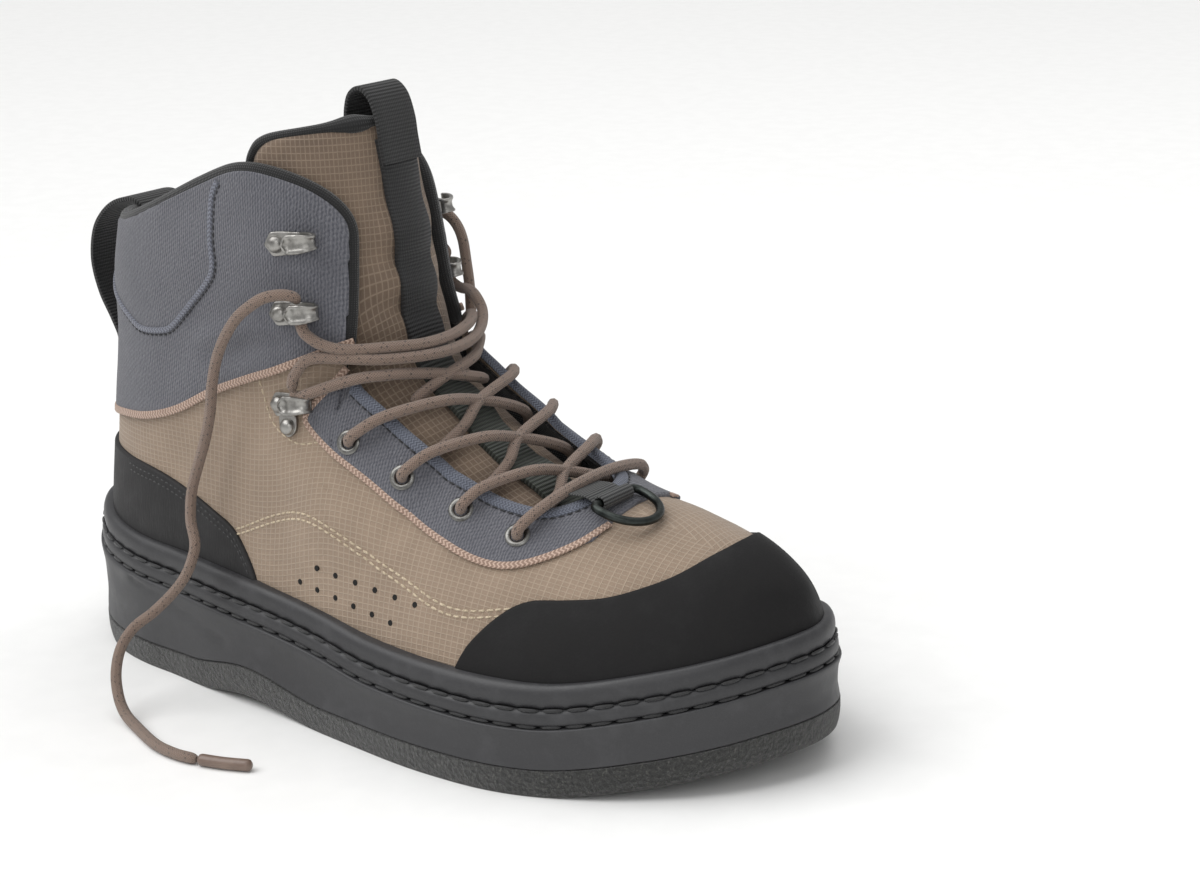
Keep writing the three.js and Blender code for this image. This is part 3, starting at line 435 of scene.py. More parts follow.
def spans(inside, side, lines, grow=0.0):
    """For each line the first and last share that is inside, found where the distance changes sign."""
    shares = eased(121)
    distance = inside(form(lines[:, None], shares[None], side, grow))
    within_it = distance > 0
    some = within_it.any(1)
    first = np.argmax(within_it, 1)
    last = len(shares) - 1 - np.argmax(within_it[:, ::-1], 1)
    rows = np.arange(len(lines))

    def crossing(k, outer):
        outer = np.clip(outer, 0, len(shares) - 1)
        near, far = distance[rows, k], distance[rows, outer]
        t = np.where(outer == k, 0, near / np.where(near - far == 0, 1, near - far))
        return shares[k] + (shares[outer] - shares[k]) * np.clip(t, 0, 1)
    return some, crossing(first, first - 1), crossing(last, last + 1)


# Lines tried to find a panel, at each of its ends, and along it; what a moving edge adds to its rows
COARSE, AT_END, FINE, EDGE_PACE = 90, 24, 420, 0.6


def panel_lines(inside, side, grow, rows, first, last):
    """The fan lines of a panel with the first and last share of each. Lines lie closer at both ends,
    and where the cut edges move fast."""
    probe = np.linspace(first, last, COARSE)
    hits = probe[spans(inside, side, probe)[0]]
    step = probe[1] - probe[0]
    probe = np.concatenate([np.linspace(hits[0] - step, hits[0], AT_END),
                            np.linspace(hits[-1], hits[-1] + step, AT_END)])
    probe = np.clip(probe, first, last)
    hits = probe[spans(inside, side, probe)[0]]
    probe = np.linspace(hits.min(), hits.max(), FINE)
    some, a, b = spans(inside, side, probe, grow)
    a, b = (np.interp(probe, probe[some], ends[some]) for ends in (a, b))
    moved = np.abs(np.diff(a)) + np.abs(np.diff(b))
    pace = np.concatenate([[0], np.cumsum(1 / FINE + EDGE_PACE * moved)])
    lines = np.interp(0.5 * eased(rows) + 0.5 * np.linspace(0, 1, rows), pace / pace[-1], probe)
    return lines, np.interp(lines, probe, a), np.interp(lines, probe, b)


def panel(inside, side, low, high, rows, columns, turn, first=0.0, lift=relief, sunk=None, cloth=side_cloth):
    """Closed sheet cut from the form: from its first line on, each line is filled from the first share
    inside to the last. Its top lies at grow high and falls to low at the cut edges along a quarter
    ellipse of width turn; its underside lies at low. lift adds a rise to both, and sunk takes a depth
    that depends on the line from both."""
    half_way = (low + high) / 2
    lines, a, b = panel_lines(inside, side, half_way, rows, first, TOP_LINE - 0.02)
    share = a[:, None] + (b - a)[:, None] * eased(columns)[None]
    line = np.broadcast_to(lines[:, None], share.shape)
    base = form(line, share, side, low)
    rise = lift(base, side) - (0 if sunk is None else sunk(line))
    edge = np.clip(inside(form(line, share, side, half_way)), 0, None)
    edge[:, 0] = np.where(a > 1e-6, 0, edge[:, 0])
    edge[:, -1] = np.where(b < 1 - 1e-6, 0, edge[:, -1])
    out = form(line, share, side, low + (high - low) * cap(edge, turn) + rise)
    under = form(line, share, side, low + rise - 0.02)
    size, flip = rows * columns, side < 0
    ring = border(rows, columns)
    after = np.roll(ring, -1)
    seam = ((share < 1e-6) | ((share > 1 - 1e-6) & (line >= HEEL_LINE))).ravel()
    rim = quads(ring, after, after + size, ring + size)[~(seam[ring] & seam[after])]
    faces = [grid_faces(rows, columns, flip=flip), grid_faces(rows, columns, size, flip=not flip),
             rim if flip else rim[:, ::-1]]
    uv = cloth(base, side).reshape(-1, 2)
    return np.vstack([out.reshape(-1, 3), under.reshape(-1, 3)]), np.vstack(faces), np.vstack([uv, uv])


def border(rows, columns):
    """Numbers of a grid's border points in order round it."""
    top = np.arange(columns)
    right = np.arange(1, rows) * columns + columns - 1
    bottom = (rows - 1) * columns + np.arange(columns - 2, -1, -1)
    left = np.arange(rows - 2, 0, -1) * columns
    return np.concatenate([top, right, bottom, left])


def frames(points, normals=None):
    """Tangent, normal and side vectors along a path. Without given normals the first is carried along
    by the smallest turn at each station."""
    along = tangents(points)
    if normals is None:
        start = np.array([0.0, 0.0, 1.0]) if abs(along[0, 2]) < 0.8 else np.array([0.0, 1.0, 0.0])
        normals = np.empty_like(along)
        carried = start
        for k, direction in enumerate(along):
            carried = carried - carried.dot(direction) * direction
            carried /= np.linalg.norm(carried)
            normals[k] = carried
    normals = unit(normals - (normals * along).sum(-1, keepdims=True) * along)
    return along, normals, np.cross(along, normals)


def sweep(points, profile, normals=None, scale=None):
    """Closed profile (across, up) carried along a path, with flat ends: point = path + across * side +
    up * normal. scale is one number a station, or two for across and up."""
    points = np.asarray(points, float)
    profile = np.asarray(profile, float)
    _, normal, across = frames(points, normals)
    scale = np.ones(len(points)) if scale is None else np.asarray(scale, float)
    wide, high = (scale, scale) if scale.ndim == 1 else scale.T
    ring = points[:, None] + across[:, None] * (profile[None, :, :1] * wide[:, None, None]) \
        + normal[:, None] * (profile[None, :, 1:] * high[:, None, None])
    # The seam column is doubled so that the pattern doesn't run back across one face
    ring = np.concatenate([ring, ring[:, :1]], 1)
    run, round_it = run_along(points), run_along(np.vstack([profile, profile[:1]]))
    uv = np.stack(np.broadcast_arrays(run[:, None], round_it[None]), -1).reshape(-1, 2)
    points_out = np.vstack([ring.reshape(-1, 3), points[0], points[-1]])
    count = len(profile)
    k = np.arange(count)
    last, base = (len(points) - 1) * (count + 1), len(points_out) - 2
    faces = [grid_faces(len(points), count + 1), quads(k + 1, k, base, base),
             quads(last + k, last + k + 1, base + 1, base + 1)]
    return points_out, np.vstack(faces), np.vstack([uv, [[run[0], 0], [run[-1], 0]]])


def sweep_level(line, profile, y=0.0, scale=None):
    """Profile carried along a side-view line of (x, z) at one y, with its own across kept along y."""
    path = np.column_stack([line[:, 0], np.full(len(line), y), line[:, 1]])
    return sweep(path, profile, np.cross(tangents(path), np.array([0, 1.0, 0])), scale)


def circle(radius, sides=12):
    angle = np.linspace(0, 2 * np.pi, sides, endpoint=False)
    return np.stack([radius * np.cos(angle), radius * np.sin(angle)], -1)


def band(width, thick, soft=0.35):
    """Section of a flat strap with rounded edges: across and up."""
    half, edge = width / 2, min(thick / 2, soft)
    up = thick / 2
    side = [(half - edge, -up), (half - edge * 0.3, -up + edge * 0.3), (half, -up + edge), (half, up - edge),
            (half - edge * 0.3, up - edge * 0.3), (half - edge, up)]
    top = [(half * t, up) for t in (0.6, 0.2, -0.2, -0.6)]
    left = [(-x, -z) for x, z in side]
    return np.array(side + top + left + [(-x, -z) for x, z in top])


def rounded_ends(count, tip):
    """Scale along a tube that closes both its ends as quarter circles, tip stations long."""
    scale = np.ones(count)
    rise = np.sqrt(1 - (1 - np.linspace(0.12, 1, tip)) ** 2)
    scale[:tip], scale[-tip:] = rise, rise[::-1]
    return scale


def surface_line(outline, side, grow, lift=relief):
    """Path on the form under a side-view line, and the normals there."""
    return lifted(*locate(smooth_line(outline), side), side, grow, lift)


def lifted(line, share, side, grow, lift=relief):
    """Points of the form moved out by grow and the cloth's rise, and the normals there."""
    rise = lift(form(line, share, side), side)
    return form(line, share, side, grow + rise), unit(outward(line, share, side))


# One stitch, end to end: place along it, thickness, rise
SPINDLE = np.array([(-0.5, 0.25, -0.55), (-0.36, 0.85, -0.1), (-0.12, 1, 0.05), (0.12, 1, 0.05),
                    (0.36, 0.85, -0.1), (0.5, 0.25, -0.55)])


def stitches(points, normals, pitch, length, radius, sink):
    """Row of thread stitches: the same small spindle, set at even steps along a path."""
    run = run_along(points)
    at = np.arange(pitch / 2, run[-1], pitch)
    centre, normal = sampled(at, run, points), unit(sampled(at, run, normals))
    along = sampled(at, run, tangents(points))
    along = unit(along - (along * normal).sum(-1, keepdims=True) * normal)
    across = np.cross(along, normal)
    place, thick, rise = SPINDLE.T[:, :, None]
    turn = circle(1.0, 6).T[:, None]
    local = np.stack([np.broadcast_to(place * length, (6, 6)), thick * turn[0] * radius,
                      thick * turn[1] * radius + rise * radius - sink * radius], -1).reshape(-1, 3)
    points_out = centre[:, None] + local[None, :, :1] * along[:, None] \
        + local[None, :, 1:2] * across[:, None] + local[None, :, 2:] * normal[:, None]
    caps = np.array([(0, 5, 4, 3), (0, 3, 2, 1), (30, 31, 32, 33), (30, 33, 34, 35)])
    one = np.vstack([grid_faces(6, 6, closed=True), caps])
    faces = (one[None] + 36 * np.arange(len(at))[:, None, None]).reshape(-1, 4)
    return points_out.reshape(-1, 3), faces, None


def turned(profile, sides=24):
    """Profile of radius and height turned about the axis; a radius of 0 closes it."""
    radius, height = np.asarray(profile, float).T[:, :, None]
    around = circle(1.0, sides).T[:, None]
    points = np.stack(np.broadcast_arrays(radius * around[0], radius * around[1], height), -1)
    return points.reshape(-1, 3), grid_faces(len(profile), sides, closed=True), None


def stacked(outline, levels, centre=(0, 0)):
    """Flat outline raised through levels of (inset share, height), closed at both ends by a fan."""
    outline = np.asarray(outline, float)
    middle = np.asarray(centre, float)
    count = len(outline)
    rings = [np.column_stack([middle + (outline - middle) * (1 - inset), np.full(count, height)])
             for inset, height in levels]
    points = np.vstack(rings + [[[*middle, levels[0][1]], [*middle, levels[-1][1]]]])
    k = np.arange(count)
    after = (k + 1) % count
    base, last = len(points) - 2, (len(levels) - 1) * count
    faces = [grid_faces(len(levels), count, closed=True), quads(after, k, base, base),
             quads(last + k, last + after, base + 1, base + 1)]
    return points, np.vstack(faces), None


def rounded(corners, radius, steps=4):
    """Flat outline whose corners are rounded: a quadratic curve between points short of each corner."""
    corners = np.asarray(corners, float)

    def short_of(shift):
        way = np.roll(corners, shift, axis=0) - corners
        return corners + unit(way) * np.minimum(radius, 0.45 * np.linalg.norm(way, axis=1))[:, None]
    start, end = short_of(1)[:, None], short_of(-1)[:, None]
    t = np.linspace(0, 1, steps)[None, :, None]
    bend = (1 - t) ** 2 * start + 2 * t * (1 - t) * corners[:, None] + t ** 2 * end
    return bend.reshape(-1, 2)


def set_on(part, frame_at):
    """Local part moved onto a face: local x to the toe, y across, z outwards."""
    at, toward, across, normal = frame_at
    points, faces, uv = part
    return at + points @ np.stack([toward, across, normal]), faces, uv


def face_frame(line, share, side, grow):
    """Place, direction to the toe, sideways and outward normal on the form's face."""
    at = form(line, share, side, grow)
    step = 0.02
    down = form(line, share + step, side, grow) - form(line, share - step, side, grow)
    along = form(line - step, share, side, grow) - form(line + step, share, side, grow)
    normal = unit(np.cross(down, along))
    normal = -normal if normal[1] * side < 0 else normal
    toward = np.array([1, 0, 0.12])
    toward = unit(toward - toward.dot(normal) * normal)
    return at, toward, np.cross(normal, toward), normal


# Finishes

def srgb(red, green, blue):
    """Linear colour of display values from 0 to 255."""
    share = np.array([red, green, blue]) / 255
    linear = np.where(share <= 0.04045, share / 12.92, ((share + 0.055) / 1.055) ** 2.4)
    return (*linear.tolist(), 1.0)


class Finish:
    """One Principled material, with short ways to wire its nodes. Its UV is in millimetres, and its
    object coordinates are in metres."""

    def __init__(self, name, roughness=0.7, metallic=0.0, specular=0.5, sheen=0.0):
        self.material = bpy.data.materials.new(name)
        self.material.use_nodes = True
        self.tree = self.material.node_tree
        self.shader = self.tree.nodes["Principled BSDF"]
        for socket, value in (("Roughness", roughness), ("Metallic", metallic),
                              ("Specular IOR Level", specular), ("Sheen Weight", sheen)):
            self.shader.inputs[socket].default_value = value
        places = self.tree.nodes.new("ShaderNodeTexCoord")
        self.uv, self.object = places.outputs["UV"], places.outputs["Object"]

    def wire(self, value, socket):
        """Link an output, or set a number. A colour is given in display values."""
        if isinstance(value, bpy.types.NodeSocket):
            self.tree.links.new(value, socket)
        else:
            socket.default_value = srgb(*value) if socket.type == "RGBA" else value

    def math(self, operation, a, b=0.0, c=0.0):
        node = self.tree.nodes.new("ShaderNodeMath")
        node.operation = operation
        for value, socket in zip((a, b, c), node.inputs):
            self.wire(value, socket)
        return node.outputs[0]

    def split(self, vector):
        node = self.tree.nodes.new("ShaderNodeSeparateXYZ")
        self.wire(vector, node.inputs[0])
        return tuple(node.outputs)

    def scaled(self, vector, scale):
        node = self.tree.nodes.new("ShaderNodeMapping")
        self.wire(vector, node.inputs["Vector"])
        node.inputs["Scale"].default_value = scale
        return node.outputs[0]

    def noise(self, vector, scale, detail=3.0, rough=0.5):
        node = self.tree.nodes.new("ShaderNodeTexNoise")
        self.wire(vector, node.inputs["Vector"])
        for socket, value in (("Scale", scale), ("Detail", detail), ("Roughness", rough)):
            node.inputs[socket].default_value = value
        return node.outputs["Fac"]

    def grain(self, scale, detail=3.0, rough=0.5):
        return self.noise(self.object, scale, detail, rough)

    def cells(self, vector, scale):
        node = self.tree.nodes.new("ShaderNodeTexVoronoi")
        self.wire(vector, node.inputs["Vector"])
        node.inputs["Scale"].default_value = scale
        return node.outputs["Distance"]

    def fit(self, value, low, high, to_low=0.0, to_high=1.0):
        """value from low..high to to_low..to_high, clamped."""
        node = self.tree.nodes.new("ShaderNodeMapRange")
        for number, socket in zip((value, low, high, to_low, to_high), node.inputs):
            self.wire(number, socket)
        return node.outputs[0]

    def lines(self, along, pitch, width):
        """1 on a line at each pitch, falling to 0 at width from it."""
        return self.fit(self.math("PINGPONG", along, pitch / 2), 0.0, width, 1.0, 0.0)

    def ribs(self, along, pitch):
        """(1 + cos(2 pi along / pitch)) / 2."""
        turn = self.math("COSINE", self.math("MULTIPLY", along, 2 * math.pi / pitch))
        return self.math("MULTIPLY_ADD", turn, 0.5, 0.5)

    def mixed(self, share, a, b):
        node = self.tree.nodes.new("ShaderNodeMix")
        node.data_type = "RGBA"
        self.wire(share, node.inputs["Factor"])
        first, second = (socket for socket in node.inputs if socket.type == "RGBA")
        self.wire(a, first)
        self.wire(b, second)
        return next(socket for socket in node.outputs if socket.type == "RGBA")

    def shade(self, value, low, high, a, b, share=1.0):
        """Colour a where value is low, turned by share into b where it is high."""
        return self.mixed(self.fit(value, low, high, 0.0, share), a, b)

    def bumped(self, height, depth, after=None):
        """Normal of a height from 0 to 1 that stands for depth millimetres."""
        node = self.tree.nodes.new("ShaderNodeBump")
        node.inputs["Distance"].default_value = depth * MM
        self.wire(height, node.inputs["Height"])
        if after is not None:
            self.wire(after, node.inputs["Normal"])
        return node.outputs[0]

    def done(self, colour=None, roughness=None, normal=None):
        for value, socket in ((colour, "Base Color"), (roughness, "Roughness"), (normal, "Normal")):
            if value is not None:
                self.wire(value, self.shader.inputs[socket])
        return self.material


def ripstop(name, colour, grid_colour, worn):
    """Ripstop: a plain weave of 0.5 mm with thicker yarns every 2.4 and 1.9 mm."""
    finish = Finish(name, 0.78, sheen=0.15)
    u, v, _ = finish.split(finish.uv)
    weave = finish.math("MULTIPLY", finish.ribs(u, 0.52), finish.ribs(v, 0.52))
    grid = finish.math("MAXIMUM", finish.lines(u, 2.4, 0.34), finish.lines(v, 1.9, 0.34))
    cloudy = finish.grain(45, 4, 0.6)
    base = finish.shade(cloudy, 0.35, 0.7, colour, worn)
    tone = finish.mixed(finish.math("MULTIPLY", grid, 0.46), base, grid_colour)
    slub = finish.noise(finish.scaled(finish.uv, (0.6, 3, 1)), 1.0, 2)
    tone = finish.shade(slub, 0.62, 0.9, tone, worn, 0.22)
    height = finish.math("MULTIPLY_ADD", weave, 0.45, grid)
    wavy = finish.bumped(finish.grain(160, 3), 0.35)
    return finish.done(tone, finish.fit(grid, 0, 1, 0.82, 0.66), finish.bumped(height, 0.16, wavy))


def rib_weave(name, colour, light, dark):
    """Fine upright ribs 1.05 mm apart, each broken into dashes of 1.7 mm that step from rib to rib."""
    finish = Finish(name, 0.8, sheen=0.15)
    u, v, _ = finish.split(finish.uv)
    wander = finish.math("MULTIPLY", finish.noise(finish.uv, 0.35, 3, 0.6), 1.6)
    across = finish.math("ADD", u, wander)
    ribs = finish.ribs(across, 1.05)
    dashes = finish.ribs(finish.math("MULTIPLY_ADD", across, 0.62, v), 1.7)
    height = finish.math("MULTIPLY_ADD", dashes, 0.45, ribs)
    heather = finish.noise(finish.scaled(finish.uv, (1, 0.45, 1)), 1.9, 4, 0.7)
    tone = finish.shade(height, 0.1, 1.3, dark, colour)
    tone = finish.shade(heather, 0.5, 0.75, tone, light, 0.7)
    cloudy = finish.grain(40, 4, 0.6)
    tone = finish.shade(cloudy, 0.45, 0.8, tone, dark, 0.35)
    wavy = finish.bumped(finish.grain(150, 3), 0.35)
    return finish.done(tone, None, finish.bumped(height, 0.2, wavy))


def rubber(name, colour, scuffed, grain=1300, depth=0.1, roughness=0.62, stretch=(1, 1, 1), specular=0.5):
    """Moulded rubber: a fine grain, and paler dust in patches."""
    finish = Finish(name, roughness, specular=specular)
    place = finish.scaled(finish.object, stretch)
    fine = finish.noise(place, grain, 3, 0.6)
    dust = finish.grain(60, 5, 0.7)
    tone = finish.shade(dust, 0.5, 0.78, colour, scuffed)
    tone = finish.shade(fine, 0.5, 0.75, tone, scuffed, 0.25)
    rough = finish.fit(dust, 0.3, 0.7, roughness - 0.08, roughness + 0.12)
    return finish.done(tone, rough, finish.bumped(fine, depth))


def pressed_felt():
    """Felt: short fibres every way, pale specks, and a fuzzy face."""
    finish = Finish("felt_fibres", 0.95, sheen=0.3)
    fibre = finish.noise(finish.scaled(finish.object, (1, 1, 0.45)), 1500, 6, 0.75)
    tuft = finish.cells(finish.object, 520)
    speck = finish.fit(finish.grain(900, 2, 0.8), 0.56, 0.7)
    tone = finish.shade(fibre, 0.3, 0.7, (17, 17, 17), (52, 52, 50))
    tone = finish.mixed(finish.math("MULTIPLY", speck, 0.6), tone, (104, 104, 98))
    height = finish.math("MULTIPLY_ADD", tuft, 0.6, fibre)
    return finish.done(tone, None, finish.bumped(height, 0.9))


def strap_cloth(name, colour, high_colour, rib=1.3, low_colour=None):
    """Webbing: ribs straight across the strap, lightly broken by the lengthwise yarns. Below the ankle
    it may turn to another colour."""
    finish = Finish(name, 0.68, sheen=0.1)
    u, v, _ = finish.split(finish.uv)
    ribs = finish.ribs(u, rib)
    height = finish.math("MULTIPLY_ADD", finish.ribs(v, 0.9), 0.22, ribs)
    uneven = finish.noise(finish.uv, 1.7, 3)
    tone = finish.shade(height, 0.3, 1.2, colour, high_colour)
    if low_colour is not None:
        z = finish.split(finish.object)[2]
        strong = finish.fit(height, 0.1, 1.0, 0.3, 1)
        below = finish.math("MULTIPLY", finish.fit(z, 0.122, 0.128, 1, 0), strong)
        tone = finish.mixed(below, tone, low_colour)
    tone = finish.shade(uneven, 0.55, 0.8, tone, colour, 0.4)
    return finish.done(tone, None, finish.bumped(height, 0.3))


def braid():
    """Round lace: a braid of diagonal yarns over lengthwise ribs, with dark flecks on two spirals."""
    finish = Finish("braided_lace", 0.8, sheen=0.2)
    u, v, _ = finish.split(finish.uv)
    girth = math.pi * LACE
    left, right, first, second = (finish.math("MULTIPLY_ADD", v, rise / girth, u)
                                  for rise in (12, -12, 7.5, -7.5))
    height = finish.math("MAXIMUM", finish.ribs(left, 1.0), finish.ribs(right, 1.0))
    spirals = finish.math("MAXIMUM", finish.lines(first, 7.5, 0.75), finish.lines(second, 7.5, 0.75))
    fleck = finish.math("MULTIPLY", spirals, finish.ribs(v, girth / 8))
    tone = finish.shade(height, 0.1, 1.0, (102, 86, 76), (138, 118, 105))
    tone = finish.shade(fleck, 0.55, 0.75, tone, (34, 31, 30), 0.9)
    return finish.done(tone, None, finish.bumped(height, 0.28))


def thread(name, colour, dark):
    """Twisted thread."""
    finish = Finish(name, 0.6, sheen=0.2)
    twist = finish.grain(1600, 2)
    tone = finish.shade(twist, 0.35, 0.65, dark, colour)
    return finish.done(tone, None, finish.bumped(twist, 0.08))


def trim(name, colour, high_colour, pitch=1.6):
    """Edge tape with a zigzag of raised yarns along it."""
    finish = Finish(name, 0.75, sheen=0.15)
    u, v, _ = finish.split(finish.uv)
    zigzag = finish.math("MULTIPLY_ADD", finish.math("PINGPONG", v, 0.9), 1.0, u)
    rows = finish.ribs(zigzag, pitch)
    tone = finish.shade(rows, 0.2, 0.9, colour, high_colour)
    uneven = finish.grain(300, 3)
    tone = finish.shade(uneven, 0.55, 0.8, tone, colour, 0.4)
    return finish.done(tone, None, finish.bumped(rows, 0.3))


def knit(name, colour, high_colour, pitch=0.9, depth=0.25):
    """Knitted lining: small loops in rows."""
    finish = Finish(name, 0.9, sheen=0.25)
    u, v, _ = finish.split(finish.uv)
    shifted = finish.math("ADD", v, 0.25)
    loops = finish.math("MULTIPLY", finish.ribs(u, pitch), finish.ribs(shifted, pitch * 1.3))
    fuzz = finish.grain(700, 4, 0.7)
    height = finish.math("MULTIPLY_ADD", fuzz, 0.5, loops)
    tone = finish.shade(height, 0.2, 1.2, colour, high_colour)
    return finish.done(tone, None, finish.bumped(height, depth))


def metal(name, colour, dark, roughness):
    """Satin metal, finely brushed, a little dull in patches."""
    finish = Finish(name, roughness, 1.0)
    brushed = finish.noise(finish.scaled(finish.object, (1, 1, 7)), 900, 3, 0.6)
    dull = finish.grain(240, 4, 0.6)
    tone = finish.shade(dull, 0.45, 0.75, colour, dark)
    rough = finish.fit(brushed, 0.3, 0.7, roughness - 0.08, roughness + 0.14)
    return finish.done(tone, rough, finish.bumped(brushed, 0.03))


# Colours are display values from 0 to 255: of the material first, then of its light or worn places
# and of its dark ones
TAN = ripstop("tan_ripstop", (146, 127, 109), (182, 164, 144), (135, 117, 100))
GREY = rib_weave("grey_rib_weave", (102, 102, 108), (132, 133, 138), (70, 71, 79))
TONGUE_CLOTH = ripstop("tongue_ripstop", (116, 98, 82), (164, 145, 124), (98, 82, 69))
TOE_RUBBER = rubber("toe_rubber", (17, 16, 17), (27, 26, 26), 1100, 0.09, 0.66, specular=0.28)
COUNTER_RUBBER = rubber("counter_rubber", (27, 26, 27), (40, 39, 40), 700, 0.18, 0.62, (2.4, 2.4, 0.25), 0.4)
SOLE_RUBBER = rubber("sole_rubber", (50, 50, 52), (68, 68, 70), 1500, 0.07, 0.48)
WELT_RUBBER = rubber("welt_rubber", (46, 46, 48), (64, 64, 66), 1300, 0.07, 0.46)
FELT_FIBRES = pressed_felt()
BLACK_WEBBING = strap_cloth("black_webbing", (14, 14, 15), (40, 40, 40))
TONGUE_WEBBING = strap_cloth("tongue_webbing_cloth", (15, 15, 16), (34, 34, 35), 1.3, (58, 63, 55))
TAB_WEBBING = strap_cloth("tab_webbing", (34, 35, 36), (80, 81, 80), 1.1)
BRAID = braid()
CREAM_THREAD = thread("cream_thread", (206, 190, 164), (158, 142, 118))
DARK_THREAD = thread("dark_thread", (34, 34, 36), (14, 14, 15))
NAVY_THREAD = thread("navy_thread", (32, 33, 40), (16, 16, 20))
PINK_TRIM = trim("pink_tan_trim", (142, 117, 102), (192, 166, 150))
BLUE_TRIM = trim("blue_grey_trim", (92, 94, 104), (122, 125, 136))
BINDING = trim("throat_binding", (80, 84, 96), (108, 113, 126), 1.2)
COLLAR_CLOTH = knit("collar_knit", (13, 13, 14), (32, 32, 33), 0.8, 0.2)
LINING = knit("lining_knit", (14, 14, 15), (34, 34, 35))
INSOLE_CLOTH = knit("insole_knit", (40, 40, 41), (70, 70, 70), 1.1)
NICKEL = metal("satin_nickel", (160, 158, 154), (112, 110, 107), 0.34)
GUNMETAL = metal("gunmetal", (62, 66, 64), (38, 41, 40), 0.36)
EYELET_METAL = metal("dark_nickel", (124, 123, 120), (78, 77, 75), 0.3)
HOLE = rubber("pinhole_shadow", (14, 13, 12), (24, 23, 22), 900, 0.02, 0.9)
TIP_FILM = rubber("lace_tip_film", (112, 94, 84), (136, 118, 106), 500, 0.05, 0.35)


# Camera at the photograph's angle, from a 1200 x 885 image

PHOTO_WIDTH, FOCAL_PIXELS, SENSOR = 1200, 2397.5, 36.0
camera_data = bpy.data.cameras.new("camera")
camera_data.sensor_width, camera_data.sensor_fit = SENSOR, "HORIZONTAL"
camera_data.lens = FOCAL_PIXELS / PHOTO_WIDTH * SENSOR
camera = bpy.data.objects.new("camera", camera_data)
bpy.context.scene.collection.objects.link(camera)
camera.matrix_world = Matrix((
    (0.8120, -0.1506, 0.5638, 0.5400), (0.5831, 0.2510, -0.7727, -0.6313),
    (-0.0252, 0.9563, 0.2917, 0.3456), (0, 0, 0, 1)))
bpy.context.scene.camera = camera


# Lace

FREE_END = [
    (-17.4, -41, 152.7), (-18.5, -42.2, 155), (-22, -45.2, 155.9), (-27, -48.4, 154.8), (-32, -50.2, 151.6),
    (-37, -51.8, 147.2), (-43.2, -52, 139.6), (-48.4, -51.5, 131), (-52.3, -50.8, 121), (-55.2, -50, 110),
    (-59.2, -49.6, 99), (-63.4, -49.8, 89), (-66, -51.5, 79), (-65.6, -53.5, 69), (-61.8, -56, 61.6),
    (-62, -57.5, 56), (-64.5, -59.5, 49), (-69.2, -62, 42.2), (-75.4, -66.5, 35), (-80.8, -71.5, 29.6),
    (-82.4, -77, 23.4), (-80.6, -82, 16), (-76.6, -85.5, 9), (-71, -88, 4), (-60.6, -91.9, 2.1),
    (-45, -98.4, 2.1), (-33, -100.4, 2.1), (-23.4, -99.8, 2.1)]
AGLET = [(-22.8, -99.7, 2.3), (-13, -97.2, 2.3), (-3.3, -93.5, 2.3)]
LOOP = [
    (-17.4, 39.9, 152.7), (-19, 41.4, 155.4), (-24.6, 44.6, 157), (-29.6, 46, 160.8), (-29.8, 46, 166.4),
    (-25.5, 45, 169), (-20, 45, 168), (-15.8, 45, 164.4), (-13.6, 45.3, 159), (-12.8, 45.8, 151),
    (-12.4, 46.6, 142), (-13, 47.6, 133), (-13.6, 48.4, 127)]
LOW_HOOK_LATERAL = [
    (-20.3, -43.9, 121.5), (-18, -43.8, 119.3), (-13.5, -43, 121.2), (-6.8, -39.6, 123.9), (1.2, -34, 126.5),
    (7, -27.8, 127), (12, -20, 126.6), (17, -6, 124), (20, 8, 120), (18.5, 16, 117)]
LOW_HOOK_MEDIAL = [
    (14, -20, 116.5), (16, -14, 120), (18, -3, 124), (17, 11, 126.2), (10.5, 22.5, 127.5), (4, 31.2, 127.9),
    (-5, 38.5, 124.9), (-13.5, 43.2, 121), (-18, 44.3, 120), (-19.6, 44.3, 123)]
ANKLE_UPPER = [
    (-17.1, -41.1, 150.6), (-16.8, -41.2, 148), (-16.5, -41.3, 145.1), (-14.8, -41, 141.8),
    (-9.5, -38.2, 138), (-2, -33.5, 136.3), (7.8, -23, 136.3), (13.5, -12, 135.8), (15, 1, 136),
    (12.6, 14, 137), (6, 25, 137), (-1.5, 32.5, 134.8), (-11, 39.5, 128.5), (-15.8, 42.4, 125.4),
    (-19.6, 44.3, 123)]
ANKLE_LOWER = [
    (-20.3, -43.9, 121.5), (-19.9, -43.9, 124.4), (-18.8, -43.5, 127.5), (-14, -41, 133),
    (-3.6, -35.2, 133.4), (6, -27.6, 132.6), (14.4, -15.4, 132.2), (17.6, -2, 132), (16.6, 11, 132.6),
    (11.6, 22.6, 134), (6.8, 30, 137.6), (2, 32.8, 141.6), (-5, 37, 143), (-11.5, 40.2, 142.2),
    (-15.6, 40.8, 143.6), (-16.5, 40.4, 145.2), (-17, 40.1, 148), (-17.2, 40, 150.6)]
EYELETS = [(8.17, 0.19), (7.18, 0.19), (6.27, 0.18), (5.42, 0.17)]
SIDE_NAMES = {LATERAL: "lateral", MEDIAL: "medial"}


def lace_strand(points):
    """Round lace: a circle with eight low ribs, radius (1 + 0.035 cos 8a) x half the diameter, carried
    along a smooth curve through the points, with both ends rounded."""
    path = smooth_line(points, 0.9)
    angle = np.linspace(0, 2 * np.pi, 32, endpoint=False)
    section = circle(LACE / 2, 32) * (1 + 0.035 * np.cos(8 * angle))[:, None] * 0.99
    return sweep(path, section, scale=rounded_ends(len(path), 4))


